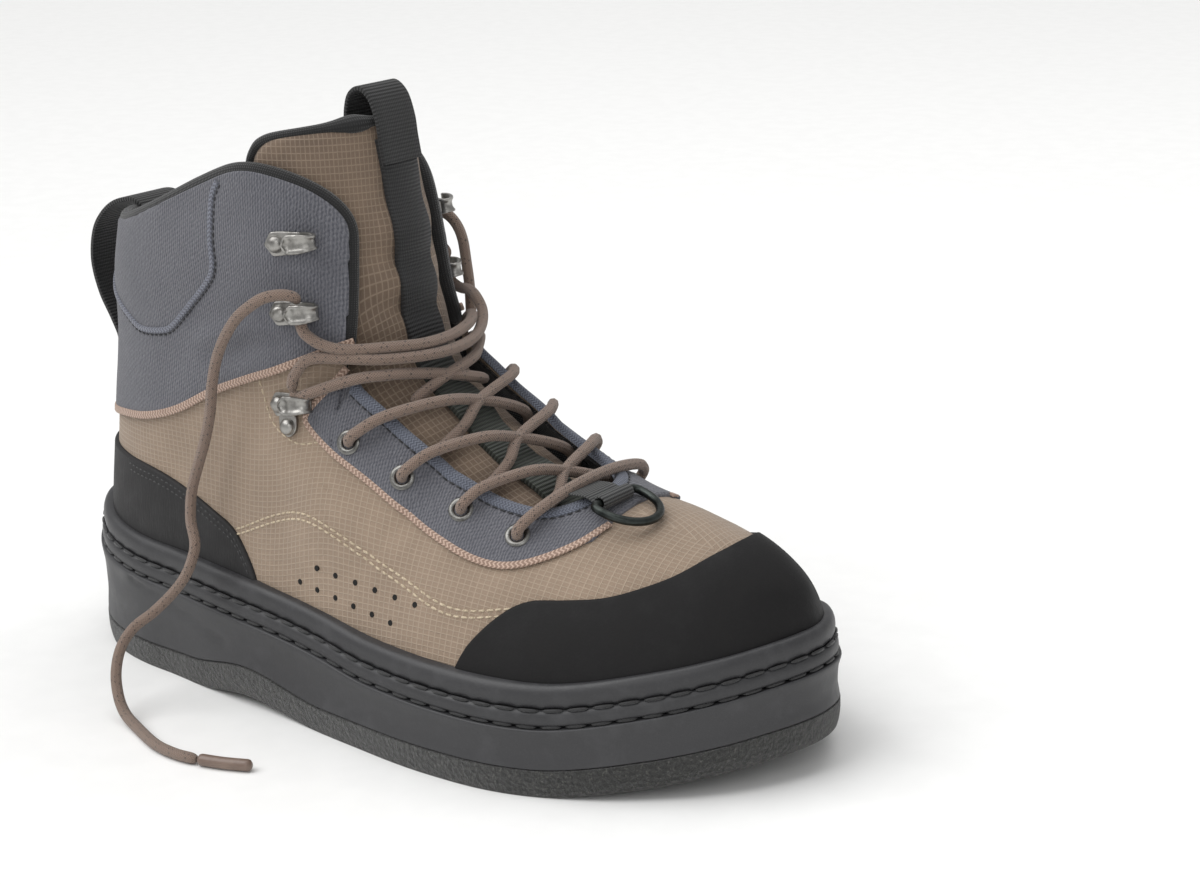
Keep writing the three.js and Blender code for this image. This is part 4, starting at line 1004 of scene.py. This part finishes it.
def make_cords():
    """The free end with its tip, and the loop behind the medial hooks."""
    tip_path = smooth_line(AGLET, 0.8)
    tube = sweep(tip_path, circle(2.15, 20), scale=rounded_ends(len(tip_path), 3))
    tip = make("lace_tip", tube, material=TIP_FILM, slot="lace", stands_for=["lace_aglet"])
    free = make("lace_free_strand", lace_strand(FREE_END), material=BRAID, slot="lace",
                stands_for=["lace_free_end"])
    path = smooth_line(FREE_END, 2.0)
    loop = make("lace_loop_strand", lace_strand(LOOP), material=BRAID, slot="lace", stands_for=["lace_loop"])
    path = smooth_line(LOOP, 1.5)


def over_edge(line, share, side):
    """Start of a strand: from under an eyelet out through it, and on over the edge of the throat."""
    return [(line, share, side, -1.5), (line, share, side, 2.6), (line - 0.01, share - 0.02, side, 4.9)]


def crossing(start, end, side):
    """Strand that leaves an eyelet on the outside, crosses the throat and goes under its far edge."""
    (line, share), (to_line, to_share) = start, end
    middle = (line + to_line) / 2
    rows = over_edge(line, share, side) + [
        (line - 0.04, 0.1, side, 4.6), (line + (middle - line) * 0.6, 0.02, side, 3.0),
        (middle, 0.0, side, -0.8), (middle + (to_line - middle) * 0.55, 0.012, -side, -3.0),
        (middle + (to_line - middle) * 0.8, 0.07, -side, -4.2), (to_line, to_share, -side, -4.4)]
    return lace_strand([form(*row) for row in rows])


def make_laces():
    how = dict(material=BRAID, slot="lace")
    for k in range(3):
        pair = gather([crossing(EYELETS[k], EYELETS[k + 1], side) for side in SIDES])
        make(f"lace_crossing_{k + 1}", pair, stands_for=[f"lace_cross_{k + 1}"], **how)
    line, share = EYELETS[3]
    halves = [[form(*row) for row in over_edge(line, share, side) + [
        (line - 0.03, 0.08, side, 4.8), (line - 0.02, 0.008, side, 3.0)]] for side in SIDES]
    make("lace_lowest_bar", lace_strand(halves[0] + halves[1][::-1]), stands_for=["lace_bar"], **how)
    hooked = gather([lace_strand(LOW_HOOK_LATERAL), lace_strand(LOW_HOOK_MEDIAL)])
    make("lace_to_lock_hooks", hooked, stands_for=["lace_cross_hooks"], **how)
    over_ankle = gather([lace_strand(ANKLE_UPPER), lace_strand(ANKLE_LOWER)])
    make("lace_over_ankle", over_ankle, stands_for=["lace_ankle_bars"], **how)


# Soles

def sole_loop(inset, height, count):
    """Closed plan outline of the sole moved in by inset: along the outer edge from the heel to the toe,
    and back along the inner edge. height is a function of x."""
    x = HEEL_X + inset + (TOE_X - HEEL_X - 2 * inset) * eased(count)
    outer, inner = (np.stack([x, midline(x) + side * (plan_width(x, side) - inset) * end_caps(x, inset),
                              height(x)], -1) for side in SIDES)
    return np.vstack([outer, inner[-2:0:-1]])


def sole_body(levels, count=110, marks=None, bead=False):
    """Loops of the sole's outline joined level by level, with flat ends, or as a ring for a bead."""
    loops = np.stack([sole_loop(inset, height, count) for inset, height in levels])
    if marks is not None:
        loops = marks(loops)
    rows, around = loops.shape[:2]
    run, rise = run_along(loops[0]), run_along(loops[:, 0])
    uv = np.stack(np.broadcast_arrays(run[None], rise[:, None]), -1).reshape(-1, 2)
    last = (rows - 1) * around
    if bead:
        k = np.arange(around)
        after = (k + 1) % around
        ends = [quads(last + k, last + after, after, k)]
    else:
        i = np.arange(count - 1)
        cover = quads(i, i + 1, (around - i - 1) % around, (around - i) % around)
        ends = [cover[:, ::-1], last + cover]
    return loops.reshape(-1, 3), np.vstack([grid_faces(rows, around, closed=True)] + ends), uv


def between(low, high, share, extra=0.0):
    return lambda x: low(x) + extra + (high(x) - low(x) - extra) * share


def midsole_marks(loops):
    """Shallow moulded groove that climbs the side at the heel: each point moves in by a Gaussian of its
    distance to the groove's line in the side view."""
    x, y, z = np.moveaxis(loops, -1, 0)
    inwards = fold(x, z, (-112.0, 34.0), (-56.0, 22.0), 1.3, 0.9) * np.sign(y - midline(x))
    return loops - np.stack([np.zeros_like(x), inwards, np.zeros_like(x)], -1)


# Sections of the two beads of the welt: inset from the sole's edge, and height over its rim
LOWER_BEAD = [(4.8, 0.7), (2, 0.9), (1.35, 1.25), (1.05, 1.9), (0.95, 3), (1.05, 4.1), (1.35, 5.1),
              (1.9, 5.9), (2.7, 6.35), (4.8, 6.45)]
UPPER_BEAD = [(7, 6.3), (3.6, 6.5), (2.85, 7), (2.4, 7.8), (2.15, 9), (2.1, 10.3), (2.25, 11.6),
              (2.65, 12.8), (3.2, 13.7), (3.9, 14.35), (4.9, 14.75), (7.4, 14.7)]
# Inset of the midsole's side at shares of its height
MIDSOLE_SIDE = curve([0, 0.02, 0.06, 0.35, 0.7, 0.9, 0.95, 0.985, 1.0],
                     [1.0, 0.6, 0.65, 1.3, 1.05, 0.25, 0.05, 0.15, 0.6])
MIDSOLE_SHARES = [0, 0.02, 0.06, 0.12, 0.2, 0.28, 0.36, 0.44, 0.52, 0.6, 0.68, 0.76, 0.83, 0.88, 0.92,
                  0.95, 0.975, 0.99, 1]
FELT_SHARES = [0.04, 0.1, 0.2, 0.35, 0.5, 0.65, 0.8, 0.92, 0.98]


def above_rim(rise):
    return lambda x: rim_z(x) + rise


def make_soles():
    felt = [(0.2 + 1.2 * (1 - t) ** 3 + 0.2 * t, between(floor_z, felt_z, t)) for t in FELT_SHARES]
    make("felt_outsole", sole_body([(1.4, floor_z)] + felt + [(0.8, felt_z)], 160), material=FELT_FIBRES,
         slot="felt", stands_for=["outsole_felt"])
    side = [(float(MIDSOLE_SIDE(t)), between(felt_z, rim_z, t, GAP)) for t in MIDSOLE_SHARES]
    make("midsole_body", sole_body(side, 200, marks=midsole_marks), material=SOLE_RUBBER,
         slot="sole_rubber", stands_for=["midsole"])
    for word, bead in (("lower", LOWER_BEAD), ("upper", UPPER_BEAD)):
        make(f"{word}_welt", sole_body([(inset, above_rim(rise)) for inset, rise in bead], bead=True),
             material=WELT_RUBBER, slot="sole_rubber", stands_for=[f"welt_{word}"])
    rows = []
    for inset, rise, radius in ((1.75, 6.55, 0.62), (1.35, 0.75, 0.55)):
        path = even(sole_loop(inset, above_rim(rise), 200), 1.5)
        normal = unit(np.cross(tangents(path), [0, 0, 1.0]))
        rows.append(stitches(path, normal, 8.6, 7.0, radius, 0.0))
    make("welt_stitches", gather(rows), material=DARK_THREAD, slot="sole_rubber")


# Upper

def gentle(share):
    """The cloth's relief at a share of its height, for what is laid over it."""
    return lambda point, side: relief(point, side) * share


def both(inside, low, high, rows, columns, **how):
    return gather([panel(inside, side, low, high, rows, columns, **how) for side in SIDES])


def counter_shape(point):
    """Counter with the narrow strip that runs up the back to the cuff."""
    strip = np.minimum.reduce([7.5 - np.abs(point[..., 1]), -100 - point[..., 0], 95 - point[..., 2]])
    return np.maximum(on_counter(point), strip)


def make_upper():
    make("upper_cloth", both(on_upper, -1.3, 0.0, 210, 96, turn=0.8), material=TAN, slot="tan_cloth",
         stands_for=["upper"])
    make("upper_lining", both(on_upper, -2.4, -1.32, 110, 50, turn=0.6), material=LINING, slot="tan_cloth")
    for name, shape, rows, material, slot, stands_for in (
            ("toe_cap_rubber", on_toe_cap, 90, TOE_RUBBER, "toe_rubber", "toe_cap"),
            ("counter_rubber_panel", counter_shape, 110, COUNTER_RUBBER, "counter_rubber", "heel_counter")):
        make(name, both(shape, 0.02, 1.6, rows, 74, turn=1.1, lift=gentle(0.5)), material=material,
             slot=slot, stands_for=[stands_for])
    for name, shape, rows, columns, stands_for in (
            ("eyestay_cloth", on_eyestay, 150, 40, "eyestay"),
            ("cuff_cloth", above_cuff_line, 170, 90, "cuff")):
        make(name, both(within(on_upper, shape), 0.02, 1.4, rows, columns, turn=0.9), material=GREY,
             slot="grey_cloth", stands_for=[stands_for])


def over_middle(halves):
    """Path and normals over both sides: the lateral half, then the medial half run back."""
    return [np.vstack([lateral, medial[-2::-1]]) for lateral, medial in zip(*halves)]


def collar_path(side, grow):
    """Path along the mouth's edge on one side, from the foot of its front edge to the middle of the
    back, with the normals of the form."""
    outline = smooth_line([(-5.3, 131), (-5.3, 150)] + COLLAR[:-1] + [(-131.4, 168.3)], 0.12)
    line, share = locate(outline, side)
    path = form(line, share, side, grow)
    fine = even(np.column_stack([path, outward(line, share, side)]), 1.6)
    return fine[:, :3], unit(fine[:, 3:])


def smoothed(rows, reach=2):
    """Running mean of each column over reach rows to both sides, with the end rows repeated."""
    rows = np.vstack([rows[:1]] * reach + [rows] + [rows[-1:]] * reach)
    kernel = np.ones(2 * reach + 1) / (2 * reach + 1)
    return np.stack([np.convolve(column, kernel, "valid") for column in rows.T], 1)


def make_collar():
    """Padded edge of the mouth: a flattened tube that runs down the front edges too."""
    path, normal = (smoothed(rows) for rows in over_middle([collar_path(side, -1.7) for side in SIDES]))
    tube = sweep(path, circle(1.0, 24) * (2.9, 2.8), unit(normal), rounded_ends(len(path), 4))
    collar = make("collar_padding", tube, material=COLLAR_CLOTH, slot="lining")


sink = curve([5, 8, 10, 12, 14], [6, 5, 2, 0.6, 0])


def tongue_depth(line):
    return WALL + 0.4 + sink(np.maximum(line, 5))


TONGUE_FOLDS = [
    ((-26, 170), (24, 158), 4.5, -2.2), ((-24, 161), (20, 150), 4.5, 1.2), ((-28, 190), (12, 184), 6.0, -1.1),
    ((-22, 151), (22, 142), 3.6, -2.0), ((-16, 142), (24, 134), 4.0, 0.7), ((-30, 179), (14, 172), 5.0, 1.3),
    ((-14, 200), (-8, 176), 3.0, -0.7), ((-20, 176), (-12, 152), 3.0, -0.8)]


def tongue_lift(point, side):
    """Wrinkles across the tongue where it bends, softer towards its sides."""
    x, y, z = np.moveaxis(point, -1, 0)
    rise = 0.25 * np.sin(x / 6 + z / 5) * np.sin(y / 9 + z / 14)
    return rise + sum(fold(x, z, *shape) for shape in TONGUE_FOLDS) * (0.55 + 0.45 * np.cos(y / 8))


def on_tongue(point):
    return np.minimum(beyond(TONGUE + TONGUE[:1], -1)(point), point[..., 0] + 42)


STRIP = [(9, 204), (-30, 204), (-30, 130), (30, 60), (84, 60), (84, 120), (40, 150), (9, 204)]


def on_strip(point):
    beside = np.minimum(10 - np.abs(point[..., 1]), point[..., 0] + 29)
    return np.minimum(beside, beyond(STRIP, -1)(point))


def webbing_lift(point, side):
    """Rise of the webbing between its bar tacks, where the laces pass over and under it."""
    x = point[..., 0]
    bulge = 1.6 * np.clip(np.sin((x - 20) * np.pi / 15), 0, 1) * (x > 20) * (x < 70)
    return tongue_lift(point, side) * 0.7 + bulge


def strap(points, width, thick, soft=0.35, step=0.8, y=0.0):
    """Flat strap seen from the side as a line of (x, z), pulled across the boot."""
    return sweep_level(smooth_line(points, step), band(width, thick, soft), y)


PULL_LOOP = [(-2.2, 197), (-3.6, 205), (-4.6, 212), (-7.4, 219.5), (-12.2, 223), (-16.8, 220.5), (-18.8, 214),
             (-19, 205), (-17.6, 196)]
HEEL_LOOP = [(-141.9, 112), (-141.8, 118), (-145, 125), (-150.5, 135), (-153.3, 147), (-151, 159),
             (-145, 167), (-137, 171.8), (-127.5, 173.1), (-121.2, 168), (-120.8, 154)]


TONGUE_RIM = [(-40.5, 182), (-41, 196), (-38.5, 203.5), (-33, 207.6), (-20, 210.2), (-8, 211.8), (1.5, 212.3)]


def tongue_rim(side):
    line, share = locate(smooth_line(TONGUE_RIM, 0.8), side)
    return form(line, share, side, -tongue_depth(line) - 3.4), outward(line, share, side)


def make_tongue():
    how = dict(first=4.5, sunk=tongue_depth, cloth=front_cloth)
    pad = both(on_tongue, -6.0, 0.0, 160, 64, turn=4.0, lift=tongue_lift, **how)
    tongue = make("tongue_pad", pad, material=TONGUE_CLOTH, slot="tan_cloth", stands_for=["tongue"])
    path, normal = over_middle([tongue_rim(side) for side in SIDES])
    swell = 1 + 0.9 * np.exp(-((np.abs(path[:, 1]) - 13) / 6) ** 2)
    edge = sweep(path, circle(1.0, 16) * (2.0, 2.7), unit(normal), rounded_ends(len(path), 5) * swell)
    make("tongue_edge", edge, material=COLLAR_CLOTH, slot="lining")
    strip = both(on_strip, 0.15, 2.0, 220, 14, turn=0.5, lift=webbing_lift, **how)
    make("tongue_strap", strip, material=TONGUE_WEBBING, slot="webbing")
    for name, loop, width, stands_for in (("pull_loop_strap", PULL_LOOP, 20, "tongue_webbing"),
                                          ("heel_loop_strap", HEEL_LOOP, 22, "heel_pull_loop")):
        make(name, strap(loop, width, 1.7), material=BLACK_WEBBING, slot="webbing", stands_for=[stands_for])


# Trims and stitches laid on the upper

def tape(outline, side, grow, width, thick):
    points, normals = surface_line(outline, side, grow)
    return sweep(points, band(width, thick, 0.5), normals)


def throat_path(side, grow):
    """Path along the throat's edge, found from above, and the normals of the form there."""
    seen = smooth_line([(-2.4, 32.4), (0, 31.6)] + THROAT[2:-1] + [(80, 4), (80.6, 0.4)], 0.8) * (1, side)
    return lifted(*locate(seen, side, seen=(0, 1), columns=36), side, grow)


BACK_PANEL = [(-53, 192), (-56.3, 185.7), (-57.8, 172), (-57.8, 161), (-61.6, 154.6), (-71.6, 145.1),
              (-80.8, 136.7), (-87, 133.7), (-99.6, 132.6), (-108, 135.7), (-119, 141), (-128, 147),
              (-133, 155)]
CREAM_LINE = [(-54, 64), (-16, 78), (24, 66), (52, 57.5), (75.5, 60)]
LOWER_CREAM_LINE = [(-54, 62), (-15, 75.8), (23, 64), (51, 55.4), (74, 57.6)]


ANKLE_TACK = [(-40, 122), (-34, 108), (-22, 102), (-10, 104)]
BINDING_SECTION = np.array([
    (-0.9, -2.0), (-1.1, 0.2), (-0.7, 0.9), (0.2, 1.3), (1.6, 1.4), (2.8, 1.25), (3.4, 0.9), (3.5, 0.4),
    (1.8, 0.5), (0.4, 0.3), (0.1, -2.0)])
PINHOLE = [(0, -0.6), (1.05, -0.6), (1.05, 0.0), (0.95, 0.12), (0, 0.08)]


def seam(path, side, beside, pitch, length, radius, sink=0.0):
    """Stitches moved sideways from a path on the form."""
    points, normals = path
    points = points + side * beside * frames(points, normals)[2]
    return stitches(points, normals, pitch, length, radius, sink)


def make_trims():
    for name, outline, width, grow, material in (
            ("cuff_piping", CUFF[1:], 3.0, 1.3, PINK_TRIM),
            ("eyestay_piping", EYESTAY[:-1], 2.8, 0.9, PINK_TRIM),
            ("back_panel_piping", BACK_PANEL, 2.2, 1.6, BLUE_TRIM)):
        make(name, gather([tape(outline, side, grow, width, 1.1) for side in SIDES]), material=material,
             slot="grey_cloth")
    edges = []
    for side in SIDES:
        path, normal = throat_path(side, 0.8)
        edges.append(outward_faces(sweep(path, BINDING_SECTION * (-side, 1), normal)))
    make("throat_edge_binding", gather(edges), material=BINDING, slot="grey_cloth")
    rows = [seam(throat_path(side, 1.5), side, -3.9, 3.0, 2.3, 0.32) for side in SIDES]
    make("throat_stitches", gather(rows), material=NAVY_THREAD, slot="grey_cloth")
    rows = [seam(surface_line(outline, side, 0.12), side, 0, 3.1, 2.5, 0.42, 0.1)
            for outline in (CREAM_LINE, LOWER_CREAM_LINE) for side in SIDES]
    rows.append(seam(surface_line(ANKLE_TACK, LATERAL, 0.12), LATERAL, 0, 3.1, 2.4, 0.33, 0.1))
    make("vamp_stitches", gather(rows), material=CREAM_THREAD, slot="tan_cloth")
    # Navy stitch row set close beside the back panel piping: a real seam, whose dark line also stands for the
    # piping's shadow on the cloth, a painted shadow.
    rows = [seam(surface_line(BACK_PANEL, side, 1.45), side, 1.75, 2.6, 2.1, 0.34) for side in SIDES]
    make("back_panel_stitches_and_shadow", gather(rows), material=NAVY_THREAD, slot="grey_cloth")
    inner = [[(x + 0.25 * offset, z - offset) for x, z in COUNTER[2:-1]] for offset in (2.6, 5.0)]
    rows = [seam(surface_line(outline, side, 1.62, gentle(0.5)), side, 0, 2.6, 2.1, 0.3, 0.15)
            for outline in inner for side in SIDES]
    make("counter_stitches", gather(rows), material=DARK_THREAD, slot="counter_rubber")
    holes = []
    for start, end in (((-8, 60), (38, 56)), ((-17, 53), (28, 48))):
        for line, share in zip(*locate(np.linspace(start, end, 6), LATERAL)):
            grow = 0.1 + relief(form(line, share, LATERAL), LATERAL)
            holes.append(set_on(turned(PINHOLE, 14), face_frame(line, share, LATERAL, grow)))
    make("pinholes", gather(holes), material=HOLE, slot="tan_cloth")


# Metal of the lacing, and the ring

# Name, place on the form, height over it, and whether it has a second rivet on a lobe
HOOKS = [("lock_hook", 9.55, 0.228, 0.3, True), ("speed_hook_low", 11.55, 0.206, 1.9, False),
         ("speed_hook_top", 12.7, 0.201, 1.9, False)]
FLANGE = [(2.2, -2.8), (2.75, -2.8), (2.85, 1.1), (3.9, 1.3), (4.35, 1.55), (4.4, 1.85), (4.0, 2.15),
          (3.3, 2.3), (2.6, 2.1), (2.25, 1.5), (2.2, -2.8)]
CHANNEL = [(1, 0.5), (8, 0.55), (10.8, 1.2), (12.1, 3.2), (11.3, 5.4), (9, 6.6), (6, 6.7), (3.8, 6.4),
           (2.4, 6.9), (1.7, 7.8)]
CHANNEL_HALF = [(3.3, 0.55), (3.5, 0.2), (3.5, -0.25), (3.2, -0.6), (2.5, -0.65), (1.9, -0.3), (1.1, 0.05)]
CHANNEL_SECTION = [(-x, z) for x, z in CHANNEL_HALF] + [(0, 0.1)] + CHANNEL_HALF[::-1] \
    + [(1.6, 0.6), (0, 0.6), (-1.6, 0.6)]


def rivet(x, y):
    """Domed rivet head on the plate: a quarter ellipse turned about its axis, over a low collar."""
    dome = [(2.95 * math.cos(a), 1.45 + 1.95 * math.sin(a)) for a in np.linspace(0, np.pi / 2, 7)]
    points, faces, uv = turned([(0, 0.5), (3.15, 0.5), (3.2, 1.25), (3.05, 1.45)] + dome, 28)
    return points + [x, y, 0], faces, uv


def hook_channel():
    """Tongue of sheet metal bent from the plate's front back over the lace, to an ear that turns up: a
    section with a stamped hollow in its outer face, carried along the bend and wider at the ear."""
    path = smooth_line(CHANNEL, 0.35)
    share = np.linspace(0, 1, len(path))
    wide = 1 - 0.26 * np.exp(-((share - 0.5) / 0.17) ** 2)
    wide *= np.where(share > 0.9, np.sqrt(np.clip(1 - ((share - 0.9) / 0.102) ** 2, 0.02, 1)), 1)
    return sweep_level(path, CHANNEL_SECTION, scale=np.column_stack([wide, np.ones(len(path))]))


def hook_parts(lobe):
    """Plate with its rivet and channel; lobe is 1 or -1 where a second rivet sits on that side."""
    foot = rounded([(-8.2, 0), (-5.3, -4.3), (-1, -4.2), (6, -3.4), (11, -2.5), (11, 2.5), (6, 3.4),
                    (-1, 4.2), (-5.3, 4.3)], 1.0, 5)
    levels = [(0.02, 0), (0, 0.15), (0, 0.75), (0.02, 0.95), (0.07, 1.05)]
    parts = [stacked(foot, levels, (-0.5, 0)), rivet(-3.7, 0), hook_channel()]
    if lobe:
        tail = rounded([(x, z * lobe) for x, z in ((-4, -3), (4, -3), (3.9, -9.4), (0, -12.2), (-3.9, -9.4))],
                       2.4, 6)
        tail = tail if lobe < 0 else tail[::-1]
        parts += [stacked(tail, levels, (0, -7.6 * lobe)), rivet(0, -7.9 * lobe)]
    return gather(parts)


def outward_faces(part):
    """The same part with its faces turned outwards: a closed surface has a positive signed volume."""
    points, faces, uv = part
    corners = points[faces]
    apex = points.mean(0)
    a, b, c, d = (corners[:, k] - apex for k in range(4))
    volume = (a * np.cross(b, c)).sum() + (a * np.cross(c, d)).sum()
    return (points, faces[:, ::-1], uv) if volume < 0 else part


def make_metal():
    for side in SIDES:
        word = SIDE_NAMES[side]
        for name, line, share, grow, lobed in HOOKS:
            part = set_on(hook_parts(-side if lobed else 0), face_frame(line, share, side, grow))
            make(f"{name}_plate_{word}", part, material=NICKEL, slot="nickel", stands_for=[f"{name}_{word}"])
        for k, (line, share) in enumerate(EYELETS, 1):
            part = set_on(turned(FLANGE, 36), face_frame(line, share, side, 0))
            make(f"eyelet_ring_{word}_{k}", part, material=EYELET_METAL, slot="nickel",
                 stands_for=[f"eyelet_{word}_{k}"])


# Middle of the ring's straight side, its tilt, half width, depth and radius of the bar, and its sides
RING_AT, RING_TILT, HALF, DEPTH, BAR, BAR_SIDES = (89, -5, 90.35), math.radians(-17), 12.5, 17, 1.5, 20


def make_ring():
    """D-ring: a round bar along a D in its plane; and the tab folded round its straight side."""
    x, y, z = RING_AT
    forward = np.array([math.cos(RING_TILT), 0, math.sin(RING_TILT)])
    up = np.array([-math.sin(RING_TILT), 0, math.cos(RING_TILT)])
    angle = np.pi / 2 - np.linspace(0, np.pi, 15)
    arc = np.stack([DEPTH - HALF + HALF * np.cos(angle), HALF * np.sin(angle)], -1)
    outline = np.vstack([[(0, -HALF + 2.6), (0, 0), (0, HALF - 2.6), (0.5, HALF - 0.9), (2, HALF - 0.1)], arc,
                         [(2, -HALF + 0.1), (0.5, -HALF + 0.9), (0, -HALF + 2.6)]])
    flat = smooth_line(outline, 0.6)[:-1]
    path = np.array(RING_AT) + flat[:, :1] * forward + flat[:, 1:] * np.array([0, 1.0, 0])
    along = unit(np.roll(path, -1, axis=0) - np.roll(path, 1, axis=0))
    turn = circle(BAR, BAR_SIDES)
    ring = path[:, None] + np.cross(along, up)[:, None] * turn[None, :, :1] + up * turn[None, :, 1:]
    k = np.arange(BAR_SIDES)
    after, last = (k + 1) % BAR_SIDES, (len(path) - 1) * BAR_SIDES
    joint = quads(last + k, last + after, after, k)
    faces = np.vstack([grid_faces(len(path), BAR_SIDES, closed=True), joint])
    make("ring_bar", outward_faces((ring.reshape(-1, 3), faces, None)), material=GUNMETAL, slot="gunmetal",
         stands_for=["d_ring"], body="ring")
    radius = BAR + GAP + 0.4
    wrap = [(x + radius * math.cos(a), z + radius * math.sin(a))
            for a in np.radians(180 - 243 * np.linspace(0, 1, 15))]
    tab = strap([(x - 13, z + 1.0), (x - 11, z + 1.2), (x - 6, z + 1.3)] + wrap, 17, 0.8, 0.3, 0.5, y)
    make("ring_tab_strap", tab, material=TAB_WEBBING, slot="webbing", stands_for=["ring_tab"])


# Stage

def make_stage():
    """A wide pale floor, a soft sun, two soft boxes and even light all round."""
    scene = bpy.context.scene
    scene.view_settings.view_transform = "Standard"
    paper = Finish("pale_paper", 0.85)
    white = paper.done(paper.shade(paper.grain(60, 3), 0.4, 0.6, (239, 239, 238), (241, 241, 240)))
    mesh = bpy.data.meshes.new("floor")
    reach = 40.0
    corners = [(-reach, -reach, 0), (reach, -reach, 0), (reach, reach, 0), (-reach, reach, 0)]
    mesh.from_pydata(corners, [], [(0, 1, 2, 3)])
    mesh.materials.append(white)
    floor = bpy.data.objects.new("floor", mesh)
    scene.collection.objects.link(floor)
    world = bpy.data.worlds.new("studio")
    scene.world = world
    world.use_nodes = True
    sky = world.node_tree.nodes["Background"]
    sky.inputs["Color"].default_value = (1.0, 1.0, 1.0, 1.0)
    sky.inputs["Strength"].default_value = 0.5
    sun = bpy.data.lights.new("soft_sun", "SUN")
    sun.energy, sun.angle = 1.9, 0.9
    lamps = [(sun, (-0.7, -0.75, 1.5))]
    for name, place, size, power in (("soft_box_front", (0.9, -1.3, 1.0), 0.9, 5),
                                     ("soft_box_top", (0.0, 0.4, 1.7), 1.2, 7)):
        box = bpy.data.lights.new(name, "AREA")
        box.shape, box.size, box.energy = "SQUARE", size, power
        lamps.append((box, place))
    for data, place in lamps:
        lamp = bpy.data.objects.new(data.name, data)
        aim = Vector((0.0, 0.0, 0.08)) - Vector(place)
        turn = aim.to_track_quat("-Z", "Y").to_matrix().to_4x4()
        lamp.matrix_world = Matrix.Translation(place) @ turn
        scene.collection.objects.link(lamp)


def finish_insole():
    """The insole keeps its solid and gets its cloth."""
    node = bpy.data.objects["insole"]
    for slot in node.material_slots:
        slot.material = INSOLE_CLOTH


make_cords()
make_laces()
make_soles()
make_upper()
make_collar()
make_tongue()
make_trims()
make_metal()
make_ring()
finish_insole()
make_stage()
